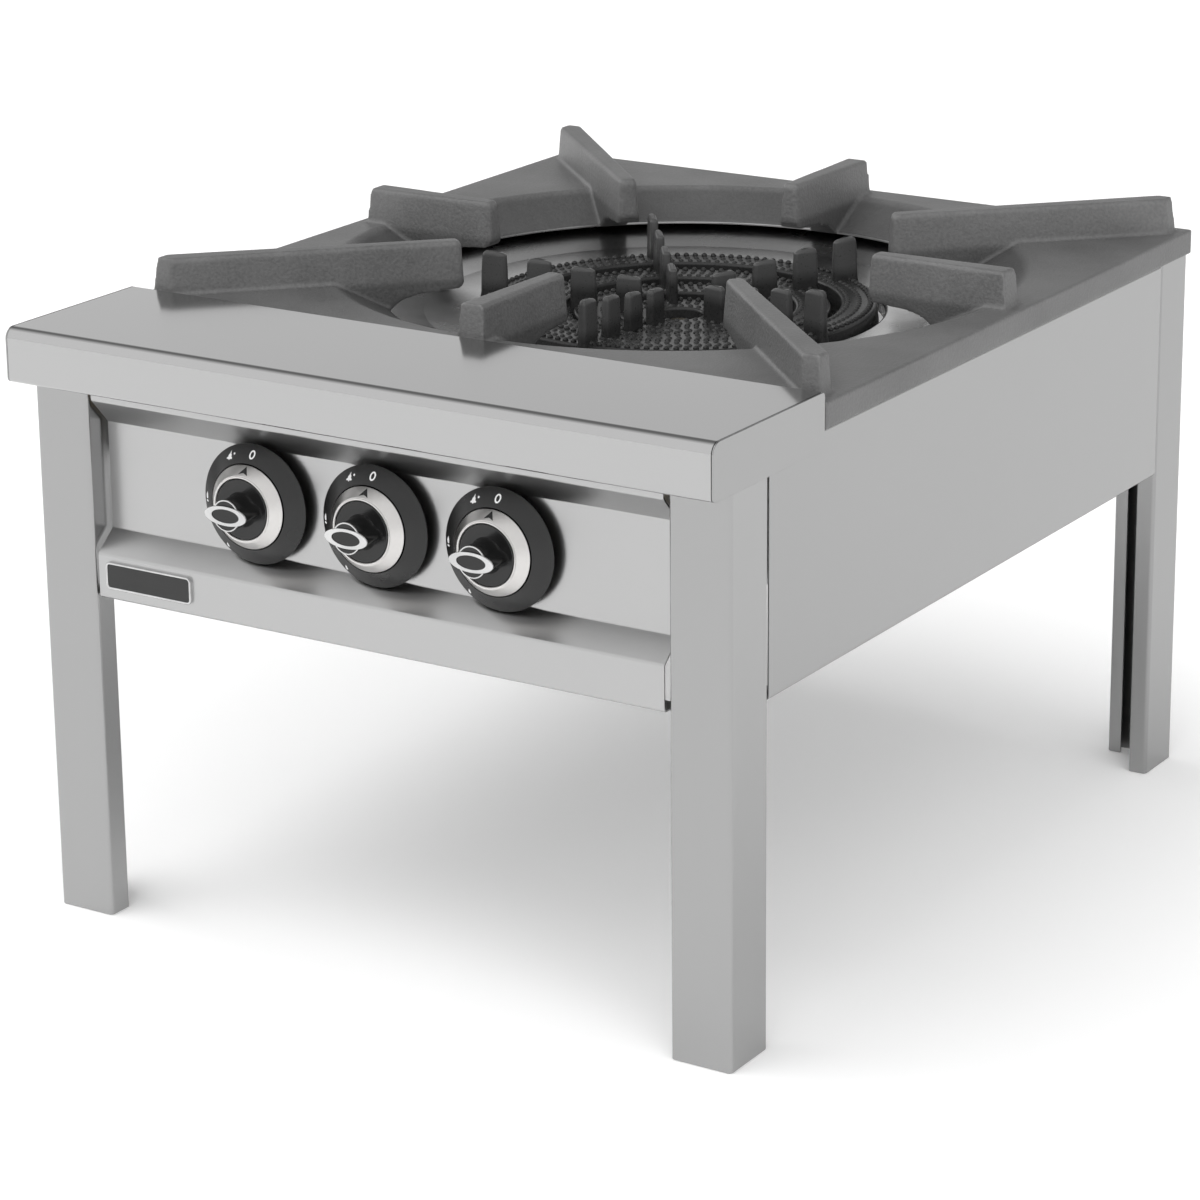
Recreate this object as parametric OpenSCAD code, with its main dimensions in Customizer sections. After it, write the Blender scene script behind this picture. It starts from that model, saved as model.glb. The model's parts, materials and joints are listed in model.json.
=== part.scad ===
// Gas stock pot range: a low stand on four folded legs, with a three-ring burner
// under a cast pot grate, a front tray and three push-and-turn gas knobs.
// X is to the right, Y to the back and Z up. The floor is z = 0, and the origin is
// on the floor, midway between the apron and the back of the rear legs.

/* [Body] */
// Width of the front tray
body_w = 600; // [580:1:640]
// Depth from the apron to the back of the rear legs
body_d = 750; // [740:1:800]
// Height of the tray top above the floor
body_h = 460; // [440:1:520]
// Height of the shell, from its lower edge to the tray top
shell_h = 205; // [199:1:220]
// Thickness of the folded steel sheet
sheet_t = 1.5; // [1:0.1:2]
// Bend radius at the middle of the sheet
bend_r = 2.5; // [2:0.1:4]

/* [Front tray] */
// Depth of the tray top
tray_d = 149; // [135:1:155]
// Height of the apron and of the two skirts
apron_h = 41; // [30:1:50]
// Bend radius of the apron's top edge
apron_r = 8; // [4:0.5:12]
// Drop from the tray top to the grate's seat
tray_step = 27; // [20:1:30]

/* [Legs] */
// Width of each leg seen from the front
leg_w = 49; // [40:1:55]
// Depth of the front legs' side walls
leg_d = 50; // [40:1:60]
// Distance of the legs' outer faces inside the tray's ends
leg_inset = 2.5; // [2:0.1:5]
// Distance of the front legs behind the apron
leg_setback = 27; // [24:1:40]
// Width of the front legs' return lips
leg_return = 20; // [10:1:30]
// Width of the hooked lips of the rear legs
leg_hook = 12; // [8:1:16]

/* [Control panel] */
// Depth of the recess that holds the dials
recess_d = 18; // [12:1:20]
// Height of the slanted band below the recess
slant_h = 16; // [12:1:18]
// Height of the slanted band above the recess
upper_slant_h = 20; // [16:1:24]
// Height of the flat face that carries the dials
face_h = 82; // [80:1:90]
// Distance from the knobs down to the foot of the flat face
face_drop = 41.5; // [41:0.5:45]
// Gap between the panel's ends and the legs
panel_gap = 3.5; // [1:0.5:5]
// Width of the badge plate
badge_w = 79; // [50:1:90]
// Height of the badge plate
badge_h = 21; // [15:1:24]

/* [Knobs] */
// Distance between neighbouring knobs
knob_pitch = 105.5; // [100:0.5:115]
// Depth of the knobs below the tray top
knob_drop = 113.5; // [111:0.5:115]
// Radius of the black dial
dial_r = 45; // [42:1:46]
// Depth of the black dial, from the panel to its inner edge
dial_t = 16.5; // [15:0.5:18]
// Radius of the silver skirt at the dial
skirt_r = 31.3; // [28:0.1:32]
// Depth of the silver skirt
skirt_t = 8.5; // [8:0.5:11]
// Width of the oval grip
grip_w = 36; // [30:1:40]
// Height of the oval grip
grip_h = 15.5; // [12:0.5:18]
// How far the knob goes in when it is pushed
push_travel = 4; // [3:0.5:5]

/* [Grate] */
// How far the grate reaches past the tray's ends
grate_over = 0.5; // [0:0.5:3]
// Depth of the grate's outer edge
grate_t = 19.5; // [17:0.5:21]
// Thickness of the cast plate
plate_t = 7; // [5:0.5:8]
// Width of the edge that rests on the shell
grate_rim = 20; // [15:1:21]
// Distance from the grate's nearer edge to the funnel
funnel_edge = 26.5; // [26:0.5:30]
// Width of the funnel's slope
funnel_run = 42; // [36:1:46]
// Depth of the funnel's lip below the plate's top
lip_drop = 21.5; // [19:0.5:22]
// Height of the fins above the plate
fin_h = 28; // [20:1:40]
// Width of a fin's top at its inner end
fin_top_w = 14; // [12:1:16]
// Width of a fin's foot at its inner end
fin_foot_w = 18; // [17:1:22]
// How much wider a fin gets towards its outer end
fin_flare = 5.6; // [0:0.2:7]

/* [Burner] */
// Outer radius of the outer ring
burner_r = 155; // [150:1:156]
// Step from one ring's outer radius to the next ring's
ring_pitch = 36; // [34:0.5:37]
// Width of each ring
ring_w = 28; // [26:0.5:30]
// Height of the outer ring
ring_h = 26; // [24:0.5:27]
// Drop of each ring's top towards the centre
ring_drop = 3.5; // [2:0.5:4]
// Height of the posts on the outer ring
post_h = 34.5; // [25:0.5:40]
// Radius of the mixing tubes
tube_r = 15; // [14.5:0.5:16]

/* [Drip bowl] */
// Gap between the burner's foot and the bowl's sheet
bowl_gap = 3.6; // [2:0.1:5]
// Thickness of the bowl's sheet
bowl_t = 1.2; // [0.8:0.1:1.5]

/* [Gas] */
// Radius of the manifold pipe
pipe_r = 10.65; // [9:0.05:11]
// Bore radius of the inlet's thread
inlet_bore_r = 9.3; // [8.5:0.1:9.5]
// Radius of the tubes from valve to injector
gas_tube_r = 4; // [3:0.5:4.5]

/* [Hidden] */

// Colours
steel_colour = [0.74, 0.75, 0.76];
bright_colour = [0.85, 0.85, 0.85];
iron_colour = [0.36, 0.37, 0.38];
burner_colour = [0.15, 0.15, 0.16];
brass_colour = [0.78, 0.62, 0.30];
black_colour = [0.12, 0.12, 0.13];
pipe_colour = [0.55, 0.56, 0.57];

// Clearances
overrun = 1;
sliding_gap = 0.05;
seam_gap = 0.5;
body_gap = 0.5;
tray_gap = 1;

// Levels and faces of the shell
half_t = sheet_t / 2;
bend_steps = 5;
y_front = -body_d / 2;
y_back = body_d / 2;
shell_z = body_h - shell_h;
seat_z = body_h - tray_step;
tray_under_z = body_h - sheet_t;
tray_back_y = y_front + tray_d;
leg_x = body_w / 2 - leg_inset;
leg_y = y_front + leg_setback;
leg_in_x = leg_x - leg_w;
side_raise = 3;
side_bottom_z = shell_z + side_raise;
flange_w = 28;
side_return = 15;
rear_leg_return = 15;
rear_leg_hook_d = 12;

// Grate and bowl
grate_y0 = tray_back_y + tray_gap;
grate_y1 = y_back + 2 * grate_over;
grate_w = body_w + 2 * grate_over;
grate_d = grate_y1 - grate_y0;
burner_y = (grate_y0 + grate_y1) / 2;
plate_z = seat_z + grate_t;
funnel_r = min(grate_w, grate_d) / 2 - funnel_edge;
lip_r = funnel_r - funnel_run;
lip_z = plate_z - lip_drop;
lip_t = 6;
fin_top_z = plate_z + fin_h;
fin_inset = 9;
fin_draft = 4;
fin_under = 7;
fin_chamfer = 2;
fin_nose = 4;
fin_in_share = 0.184;
fin_rise_share = 0.6;

// Burner
ring_count = 4;
ring_base_drop = 38;
ring_base_z = seat_z - ring_base_drop;
ring_flare = 3;
ring_wall = 5;
bead_r = 3;
bead_inset = 5;
bead_pitch = 9;
post_count = 5;
post_turn = -14.4;
post_fall = 1.7;
post_w = 21.5;
post_out = 3.5;
post_t = 8;
post_draft = 1.5;
post_root = 6;
fin_in_r = burner_r + post_out + fin_in_share * (lip_r - burner_r - post_out);
fin_rise_w = fin_rise_share * (lip_r - fin_nose - fin_in_r);
bar_w = 30;
bar_t = 4;
bar_left = 50;
bar_right = 45;
bar_x = [-bar_left, bar_right];
bolt_r = 3;
bolt_head_r = 5.5;
bolt_head_t = 3.5;
bolt_len = 9;
bolt_play = 0.3;
tube_wall = 3;
tube_drop = 30;
tube_z = ring_base_z - tube_drop;
tube_middle_x = 85;
tube_x = [-knob_pitch, tube_middle_x, 0];
port_ledge = 1;

// Bowl, carried by the flanges of the shell
bowl_lap = 5.5;
bowl_rim_gap = 2;
bowl_half_w = leg_x - flange_w + bowl_lap;
bowl_half_d = y_back - flange_w + bowl_lap - burner_y;
bowl_rim_r = min(bowl_half_w, bowl_half_d) - bowl_lap - bowl_rim_gap;
bowl_slope_w = 8;
bowl_slope_r = bowl_rim_r - bowl_slope_w;
bowl_slope_drop = 5;
bowl_slope_z = seat_z - bowl_slope_drop;
bowl_hole_r = burner_r + ring_flare + bowl_gap;
bowl_mid_share = 0.39;
bowl_mid_r = bowl_hole_r + bowl_mid_share * (bowl_slope_r - bowl_hole_r);
bowl_mid_drop = 16.5;
bowl_mid_z = seat_z - bowl_mid_drop;
bowl_floor_drop = 18;
bowl_floor_z = seat_z - bowl_floor_drop;
bowl_collar = 12;

// Bulkhead, injectors and air shutters
bulkhead_setback = 2;
bulkhead_y = tray_back_y - bulkhead_setback;
bulkhead_drop = 106.5;
bulkhead_z = seat_z - bulkhead_drop;
injector_r = 6;
injector_hex_r = 9;
injector_hex_t = 6;
injector_inlet = 8;
injector_stem = 17;
injector_nose = 5;
injector_nose_r = 3;
jet_r = 1;
shutter_r = 21;
shutter_t = 4;
shutter_start = 2;
mouth_gap = 20;
mouth_y = bulkhead_y + mouth_gap;

// Control panel, valves and knobs
panel_half_w = leg_in_x - panel_gap;
panel_flange = 27;
face_y = leg_y + recess_d;
face_back_y = face_y + sheet_t;
knob_z = body_h - knob_drop;
dial_y = face_y - dial_t;
dial_floor = dial_t - 2 * body_gap - push_travel;
dial_hole_r = 13;
dial_foot_t = 7;
dial_foot_inset = 1;
dial_edge_t = 1;
dial_play = 0.7;
nut_r = 12.2;
nut_t = 3;
neck_r = 8;
neck_play = 0.2;
valve_r = 15;
valve_neck = 6.5;
valve_y = face_back_y + valve_neck;
valve_len = 34;
stem_r = 5;
stem_depth = 20;
stem_tip_y = valve_y + stem_depth;
chamber_r = 6;
chamber_len = 11;
plunger_head_t = 3;
plunger_pin_r = 2.5;
plunger_pin_len = 3;
outlet_r = 7;
outlet_len = 10;
inlet_boss_r = 8;
inlet_hole_r = 4;
inlet_setback = 11;
skirt_back_y = dial_y + body_gap;
skirt_front_y = skirt_back_y - skirt_t;
skirt_taper = 6.9;
skirt_front_r = skirt_r - skirt_taper;
skirt_edge_t = 1;
skirt_bore_r = 12;
disc_inset = 2.2;
disc_r = skirt_front_r - disc_inset;
disc_play = 0.2;
disc_t = 6;
core_r = 12;
grip_len = 20.5;
cap_t = 1;
cap_edge = 1.8;
cap_ring_edge = 0.9;
grip_tip_y = skirt_front_y - grip_len;
stem_grip = 15;
badge_t = 2.5;
badge_base_t = 1.6;
badge_edge = 2;
badge_corner_r = 4;
badge_end_gap = 8;
badge_rise = 9;
oval_steps = 48;

// Gas pipes
manifold_drop = 39;
manifold_z = knob_z - manifold_drop;
manifold_y = valve_y + valve_len - inlet_setback;
manifold_end = 27;
manifold_left_x = -knob_pitch - manifold_end;
inlet_edge = 72.5;
manifold_right_x = leg_x - inlet_edge;
pad_r = 9;
pad_h = 3;
pipe_wall = 2.6;
coupling_r = 14;
coupling_len = 34;
coupling_socket = 12;
coupling_back_gap = 0.5;
coupling_play = 2;
gas_bore_r = 2.5;
tube_socket = 8;
pilot_r = 5;
pilot_head_r = 7;
pilot_head_h = 6;
pilot_foot = 20;
pilot_rise = 8;
pilot_tube_r = 3;
pilot_tube_x = 24;
pilot_turn_r = 9;
manifold_turn_r = 20;
tube_turn_r = 20;
arm_bore_r = 2.5;

function unit(v) = v / norm(v);
function left_of(v) = [-v[1], v[0]];
function turned(v, a) = [v[0] * cos(a) - v[1] * sin(a), v[0] * sin(a) + v[1] * cos(a)];
function backwards(list) = [for (i = [len(list) - 1:-1:0]) list[i]];

// One bend of a path with radius r, shifted to the path's left by o
function bend(p, q, s, r, o) =
    let (u = unit(q - p), v = unit(s - q))
    let (a = atan2(u[0] * v[1] - u[1] * v[0], u * v), side = sign(a))
    let (start = q - u * r * tan(abs(a) / 2), centre = start + left_of(u) * side * r)
    [for (k = [0:bend_steps])
        centre - turned(left_of(u) * side, a * k / bend_steps) * (r - side * o)];

// A path with rounded corners of radii rs, shifted to its left by o
function shifted(path, rs, o) =
    let (n = len(path) - 1)
    concat(
        [path[0] + left_of(unit(path[1] - path[0])) * o],
        [for (i = [1:n - 1]) each bend(path[i - 1], path[i], path[i + 1], rs[i - 1], o)],
        [path[n] + left_of(unit(path[n] - path[n - 1])) * o]
    );

// Outline of a sheet of thickness t that follows a path at its middle
function sheet_outline(path, rs, t) =
    concat(shifted(path, rs, t / 2), backwards(shifted(path, rs, -t / 2)));

function same_bends(path) = [for (i = [2:len(path) - 1]) bend_r];
function oval(w, h) =
    [for (k = [0:oval_steps - 1]) [w / 2 * cos(360 * k / oval_steps), h / 2 * sin(360 * k / oval_steps)]];

// A profile drawn in Y and Z, made as long as given in X
module across(length) {
    rotate([90, 0, 90]) translate([0, 0, -length / 2]) linear_extrude(length) children();
}

// A profile drawn in X and Z, from y0 towards the back
module backward(y0, length) {
    translate([0, y0 + length, 0]) rotate([90, 0, 0]) linear_extrude(length) children();
}

// A round bar along Y
module rod(x, y0, y1, z, r) {
    translate([x, y0, z]) rotate([-90, 0, 0]) cylinder(h = y1 - y0, r = r, $fn = 64);
}

// A shape drawn as radius and depth, turned about a knob's axis, with depth towards the front
module turned_knob(x, y) {
    translate([x, y, knob_z]) rotate([90, 0, 0]) rotate_extrude($fn = 96) children();
}

module folded(path) {
    polygon(sheet_outline(path, same_bends(path), sheet_t));
}

// A bent round tube along Y. Each move is a length, then a roll about the tube and a turn.
module bent_tube(moves, r, turn_r, i = 0) {
    if (moves[i][0] > 0) rotate([-90, 0, 0]) cylinder(h = moves[i][0], r = r, $fn = 48);
    if (i < len(moves) - 1)
        translate([0, moves[i][0], 0]) rotate([0, moves[i][1], 0]) translate([-turn_r, 0, 0]) {
            rotate_extrude(angle = moves[i][2], $fn = 72) translate([turn_r, 0]) circle(r = r, $fn = 48);
            rotate([0, 0, moves[i][2]]) translate([turn_r, 0, 0]) bent_tube(moves, r, turn_r, i + 1);
        }
}

module front_tray() {
    skirt_z = body_h - apron_h;
    path = [
        [y_front + half_t, skirt_z], [y_front + half_t, body_h - half_t],
        [tray_back_y - half_t, body_h - half_t], [tray_back_y - half_t, seat_z]
    ];
    outer = shifted(path, [apron_r, bend_r], half_t);
    skirt = concat(outer, [[tray_back_y, skirt_z]]);
    color(steel_colour) {
        across(body_w) polygon(sheet_outline(path, [apron_r, bend_r], sheet_t));
        for (side = [-1, 1])
            translate([side * (body_w - sheet_t) / 2, 0, 0])
                across(sheet_t) polygon(backwards(skirt));
    }
}

module leg_front(side) {
    path = [
        [leg_x - side_return, leg_y + leg_d - half_t], [leg_x - half_t, leg_y + leg_d - half_t],
        [leg_x - half_t, leg_y + half_t], [leg_in_x + half_t, leg_y + half_t],
        [leg_in_x + half_t, leg_y + leg_return]
    ];
    color(steel_colour) mirror([side < 0 ? 1 : 0, 0, 0]) linear_extrude(tray_under_z) folded(path);
}

module leg_rear(side) {
    y0 = y_back - leg_w;
    path = [
        [leg_x - rear_leg_return, y0 + half_t], [leg_x - half_t, y0 + half_t],
        [leg_x - half_t, y_back - half_t], [leg_in_x - leg_inset + half_t, y_back - half_t],
        [leg_in_x - leg_inset + half_t, y_back - rear_leg_hook_d - half_t],
        [leg_in_x - leg_inset + leg_hook, y_back - rear_leg_hook_d - half_t]
    ];
    color(steel_colour) mirror([side < 0 ? 1 : 0, 0, 0]) linear_extrude(seat_z) folded(path);
}

module control_panel() {
    front = leg_y + half_t;
    recess = face_y + half_t;
    face_z = knob_z - face_drop;
    path = [
        [leg_y + leg_return, shell_z + half_t], [front, shell_z + half_t], [front, face_z - slant_h],
        [recess, face_z], [recess, face_z + face_h],
        [front, face_z + face_h + upper_slant_h], [front, tray_under_z - half_t],
        [front + panel_flange, tray_under_z - half_t]
    ];
    color(steel_colour) difference() {
        across(2 * panel_half_w) folded(path);
        for (k = [-1:1])
            rod(k * knob_pitch, leg_y, face_back_y + overrun, knob_z, neck_r + neck_play);
    }
}

module side_panel(side) {
    y0 = leg_y + leg_d + seam_gap;
    length = y_back - leg_w - seam_gap - y0;
    path = [
        [leg_x - side_return, side_bottom_z + half_t], [leg_x - half_t, side_bottom_z + half_t],
        [leg_x - half_t, seat_z - half_t], [leg_x - flange_w, seat_z - half_t]
    ];
    color(steel_colour) mirror([side < 0 ? 1 : 0, 0, 0]) backward(y0, length) folded(path);
}

module rear_panel() {
    path = [
        [y_back - side_return, side_bottom_z + half_t], [y_back - half_t, side_bottom_z + half_t],
        [y_back - half_t, seat_z - half_t], [y_back - flange_w, seat_z - half_t]
    ];
    color(steel_colour) difference() {
        across(2 * (leg_in_x - leg_inset - seam_gap)) folded(path);
        rod(manifold_right_x, y_back - side_return, y_back + overrun, manifold_z, coupling_r + coupling_play);
    }
}

module front_bulkhead() {
    web = [[bulkhead_y - sheet_t, bulkhead_z], [bulkhead_y, seat_z - sheet_t]];
    flange = [[bulkhead_y - sheet_t, seat_z - sheet_t], [burner_y - bowl_half_d + bowl_lap, seat_z]];
    color(steel_colour) difference() {
        union() {
            across(2 * (leg_x - half_t - bend_r)) box_outline(web[0], web[1]);
            across(2 * (leg_x - flange_w)) box_outline(flange[0] - [0, half_t], flange[1]);
        }
        for (x = tube_x)
            rod(x, bulkhead_y - sheet_t - overrun, bulkhead_y + overrun, tube_z, injector_r + neck_play);
        rod(pilot_tube_x, bulkhead_y - sheet_t - overrun, bulkhead_y + overrun, pilot_tube_z(), pilot_tube_r + neck_play);
    }
}

module box_outline(low, high) {
    translate(low) square(high - low);
}

module burner_bar(k) {
    y0 = bulkhead_y;
    length = y_back - sheet_t - y0;
    color(steel_colour) difference() {
        translate([bar_x[k] - bar_w / 2, y0, ring_base_z - bar_t]) cube([bar_w, length, bar_t]);
        for (ring = [0:2])
            translate([bar_x[k], bolt_y(k, ring), ring_base_z - bar_t - overrun])
                cylinder(h = bar_t + 2 * overrun, r = bolt_r + bolt_play, $fn = 24);
    }
}

module badge_plate() {
    x0 = -panel_half_w + badge_end_gap;
    z0 = shell_z + badge_rise;
    color(black_colour) backward(leg_y - badge_base_t, badge_base_t) translate([x0, z0]) badge_outline(0);
    color(bright_colour) backward(leg_y - badge_t, badge_t) translate([x0, z0]) difference() {
        badge_outline(0);
        badge_outline(badge_edge);
    }
}

// A rectangle with round corners, drawn in by an inset
module badge_outline(inset) {
    r = badge_corner_r - inset;
    for (dx = [0, 1], dz = [0, 1])
        translate([badge_corner_r + dx * (badge_w - 2 * badge_corner_r),
                   badge_corner_r + dz * (badge_h - 2 * badge_corner_r)]) circle(r = r, $fn = 32);
    translate([inset, badge_corner_r]) square([badge_w - 2 * inset, badge_h - 2 * badge_corner_r]);
    translate([badge_corner_r, inset]) square([badge_w - 2 * badge_corner_r, badge_h - 2 * inset]);
}

// One radial fin: a side view between two drafted sides that spread towards the outer end
module fin(angle, out_r) {
    under_z = plate_z - fin_under;
    far_r = out_r + 2 * fin_foot_w;
    side_view = [
        [fin_in_r, under_z], [fin_in_r + fin_rise_w, under_z - fin_nose],
        [lip_r - fin_nose, under_z - fin_nose], [lip_r + fin_nose, lip_z - lip_t / 4],
        [funnel_r, plate_z - plate_t / 2], [far_r, plate_z - plate_t / 2],
        [far_r, fin_top_z], [fin_in_r + fin_nose, fin_top_z], [fin_in_r, fin_top_z - fin_nose]
    ];
    spread = atan(fin_flare / 2 / (out_r - fin_in_r));
    rotate([0, 0, angle]) intersection() {
        rotate([90, 0, 0]) translate([0, 0, -fin_foot_w]) linear_extrude(2 * fin_foot_w) polygon(side_view);
        fin_side(spread, far_r);
        mirror([0, 1, 0]) fin_side(spread, far_r);
    }
}

// One drafted side of a fin with its chamfer, filled to beyond the other side
module fin_side(spread, far_r) {
    low_z = lip_z - lip_t;
    low_half = fin_top_w / 2 + (fin_foot_w - fin_top_w) / 2 / fin_h * (fin_top_z - low_z);
    fill_w = 2 * fin_foot_w;
    translate([fin_in_r, 0, 0]) rotate([0, 0, -spread]) rotate([90, 0, 90]) translate([0, 0, -fin_nose])
        linear_extrude(far_r - fin_in_r + 2 * fin_nose) polygon([
            [-low_half, low_z], [fill_w, low_z], [fill_w, fin_top_z + overrun],
            [fin_chamfer - fin_top_w / 2 + overrun, fin_top_z + overrun],
            [-fin_top_w / 2, fin_top_z - fin_chamfer]
        ]);
}

// A bar across the grate whose drafted sides are where the fins end
module fin_bounds(half_w, half_d) {
    low_z = lip_z - lip_t;
    high_z = fin_top_z + overrun;
    high_half = half_w - fin_draft * (high_z - plate_z) / fin_h;
    rotate([90, 0, 0]) translate([0, 0, -half_d]) linear_extrude(2 * half_d) polygon([
        [-half_w, low_z], [half_w, low_z], [half_w, plate_z],
        [high_half, high_z], [-high_half, high_z], [-half_w, plate_z]
    ]);
}

module grate() {
    corner = [grate_w / 2, grate_d / 2];
    corner_turn = atan2(corner[1], corner[0]);
    color(iron_colour) translate([0, burner_y, 0]) {
        difference() {
            translate([-grate_w / 2, -grate_d / 2, seat_z]) cube([grate_w, grate_d, grate_t]);
            translate([grate_rim - grate_w / 2, grate_rim - grate_d / 2, seat_z - overrun])
                cube([grate_w - 2 * grate_rim, grate_d - 2 * grate_rim, grate_t - plate_t + overrun]);
            translate([0, 0, seat_z - overrun]) cylinder(h = grate_t + 2 * overrun, r = funnel_r, $fn = 180);
        }
        rotate_extrude($fn = 180) polygon([
            [funnel_r, plate_z], [lip_r, lip_z], [lip_r, lip_z - lip_t], [funnel_r - plate_t, plate_z - lip_t - plate_t],
            [funnel_r + plate_t / 2, plate_z - plate_t], [funnel_r + plate_t / 2, plate_z]
        ]);
        intersection() {
            union() for (k = [0:3]) {
                fin(k * 90, (k % 2 == 0 ? grate_w : grate_d) / 2 - fin_inset);
                fin((k < 2 ? 0 : 180) + corner_turn + k % 2 * (180 - 2 * corner_turn), norm(corner) - 2 * fin_inset);
            }
            fin_bounds(grate_w / 2 - fin_inset, grate_d);
            rotate([0, 0, 90]) fin_bounds(grate_d / 2 - fin_inset, grate_w);
        }
    }
}

module drip_bowl() {
    rim_z = seat_z + bowl_t / 2;
    path = [
        [bowl_hole_r, bowl_floor_z - bowl_collar], [bowl_hole_r, bowl_floor_z], [bowl_mid_r, bowl_mid_z],
        [bowl_slope_r, bowl_slope_z], [bowl_rim_r, rim_z], [bowl_rim_r + bowl_lap, rim_z]
    ];
    soft = 3 * bowl_t;
    color(bright_colour) translate([0, burner_y, 0]) {
        rotate_extrude($fn = 180) polygon(sheet_outline(path, [2 * bowl_t, soft, soft, soft], bowl_t));
        translate([0, 0, seat_z]) linear_extrude(bowl_t) difference() {
            square([2 * bowl_half_w, 2 * bowl_half_d], center = true);
            circle(r = bowl_rim_r + bowl_lap / 2, $fn = 180);
        }
    }
}

function ring_out_r(k) = burner_r - k * ring_pitch;
function ring_mid_r(k) = ring_out_r(k) - ring_w / 2;
function ring_top_z(k) = ring_base_z + ring_h - k * ring_drop;
function bolt_y(bar, ring) =
    burner_y + (bar == 0 ? -1 : 1) * sqrt(ring_mid_r(ring) * ring_mid_r(ring) - bar_x[bar] * bar_x[bar]);
function tube_end_y(k) = burner_y - sqrt(ring_mid_r(k) * ring_mid_r(k) - tube_x[k] * tube_x[k]);
function pilot_tube_z() = ring_base_z - 5 * bar_t;

module ring_section(k) {
    r1 = ring_out_r(k);
    r0 = r1 - ring_w;
    top = ring_top_z(k);
    polygon([
        [r0, ring_base_z], [r1 + ring_flare, ring_base_z], [r1, top - bead_r], [r1 - bead_r / 2, top],
        [r0 + bead_r / 2, top], [r0, top - bead_r]
    ]);
    for (row = [0:2])
        translate([r1 - bead_inset - row * bead_pitch, top]) circle(r = bead_r, $fn = 24);
}

module ring_hollow(k) {
    r1 = ring_out_r(k) - ring_wall;
    r0 = ring_out_r(k) - ring_w + ring_wall;
    translate([r0, ring_base_z + ring_wall]) square([r1 - r0, ring_top_z(k) - ring_base_z - 2 * ring_wall]);
}

// The upright cast posts of one ring
module ring_posts(k) {
    out_r = ring_out_r(k) + post_out;
    top = ring_top_z(k) + post_h - k * post_fall;
    side_view = [
        [out_r - post_w, ring_top_z(k) - post_root], [out_r, ring_top_z(k) - post_root],
        [out_r - post_draft, top], [out_r - post_w + post_draft, top]
    ];
    for (i = [0:post_count - 1])
        rotate([0, 0, post_turn + i * 360 / post_count])
            rotate([90, 0, 0]) translate([0, 0, -post_t / 2]) linear_extrude(post_t) polygon(side_view);
}

module burner_ring(k) {
    rotate_extrude($fn = 180) ring_section(k);
    ring_posts(k);
}

// The gas port and the bolt holes in a ring's floor
module ring_ports(k) {
    translate([tube_x[k], tube_end_y(k) - burner_y, ring_base_z - overrun])
        cylinder(h = ring_wall + 2 * overrun, r = tube_r - tube_wall - port_ledge, $fn = 48);
    for (bar = [0, 1])
        translate([bar_x[bar], bolt_y(bar, k) - burner_y, ring_base_z - overrun])
            cylinder(h = ring_wall + 2 * overrun, r = bolt_r + sliding_gap, $fn = 24);
}

module burner(k) {
    color(burner_colour) translate([0, burner_y, 0]) difference() {
        union() {
            burner_ring(k);
            if (k == ring_count - 2) {
                burner_ring(k + 1);
                for (i = [0:post_count - 1])
                    rotate([0, 0, post_turn + (i + 0.5) * 360 / post_count])
                        translate([ring_mid_r(k + 1), -post_t, ring_base_z])
                            cube([ring_pitch, 2 * post_t, ring_wall + post_root]);
            }
        }
        rotate_extrude($fn = 180) ring_hollow(k);
        if (k == ring_count - 2) {
            rotate_extrude($fn = 180) ring_hollow(k + 1);
            for (i = [0:post_count - 1])
                rotate([0, 0, post_turn + (i + 0.5) * 360 / post_count])
                    translate([ring_mid_r(k + 1), 0, ring_base_z + ring_wall + arm_bore_r / 5])
                        rotate([0, 90, 0]) cylinder(h = ring_pitch, r = arm_bore_r, $fn = 24);
        }
        ring_ports(k);
    }
}

module mixing_tube(k) {
    run = tube_end_y(k) - mouth_y - tube_turn_r;
    rise = tube_drop - tube_turn_r;
    color(iron_colour) translate([tube_x[k], mouth_y, tube_z]) difference() {
        bent_tube([[run, 90, 90], [rise]], tube_r, tube_turn_r);
        translate([0, -overrun, 0])
            bent_tube([[run + overrun, 90, 90], [rise + overrun]], tube_r - tube_wall, tube_turn_r);
    }
}

module injector(k) {
    x = tube_x[k];
    web_y = bulkhead_y - sheet_t;
    color(brass_colour) difference() {
        union() {
            rod(x, web_y, web_y + injector_stem, tube_z, injector_r);
            translate([x, web_y, tube_z]) rotate([90, 0, 0])
                cylinder(h = injector_hex_t, r = injector_hex_r, $fn = 6);
            rod(x, web_y - injector_hex_t - injector_inlet, web_y, tube_z, injector_r);
            translate([x, web_y + injector_stem, tube_z]) rotate([-90, 0, 0])
                cylinder(h = injector_nose, r1 = injector_r, r2 = injector_nose_r, $fn = 48);
        }
        rod(x, web_y - injector_hex_t - injector_inlet - overrun, web_y - injector_hex_t, tube_z,
            gas_tube_r + sliding_gap);
        rod(x, web_y - injector_hex_t - overrun, web_y + injector_stem + injector_nose + overrun, tube_z, jet_r);
    }
}

module air_shutter(k) {
    y0 = bulkhead_y + shutter_start;
    color(pipe_colour) difference() {
        rod(tube_x[k], y0, y0 + shutter_t, tube_z, shutter_r);
        rod(tube_x[k], y0 - overrun, y0 + shutter_t + overrun, tube_z, injector_r + sliding_gap);
    }
}

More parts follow.
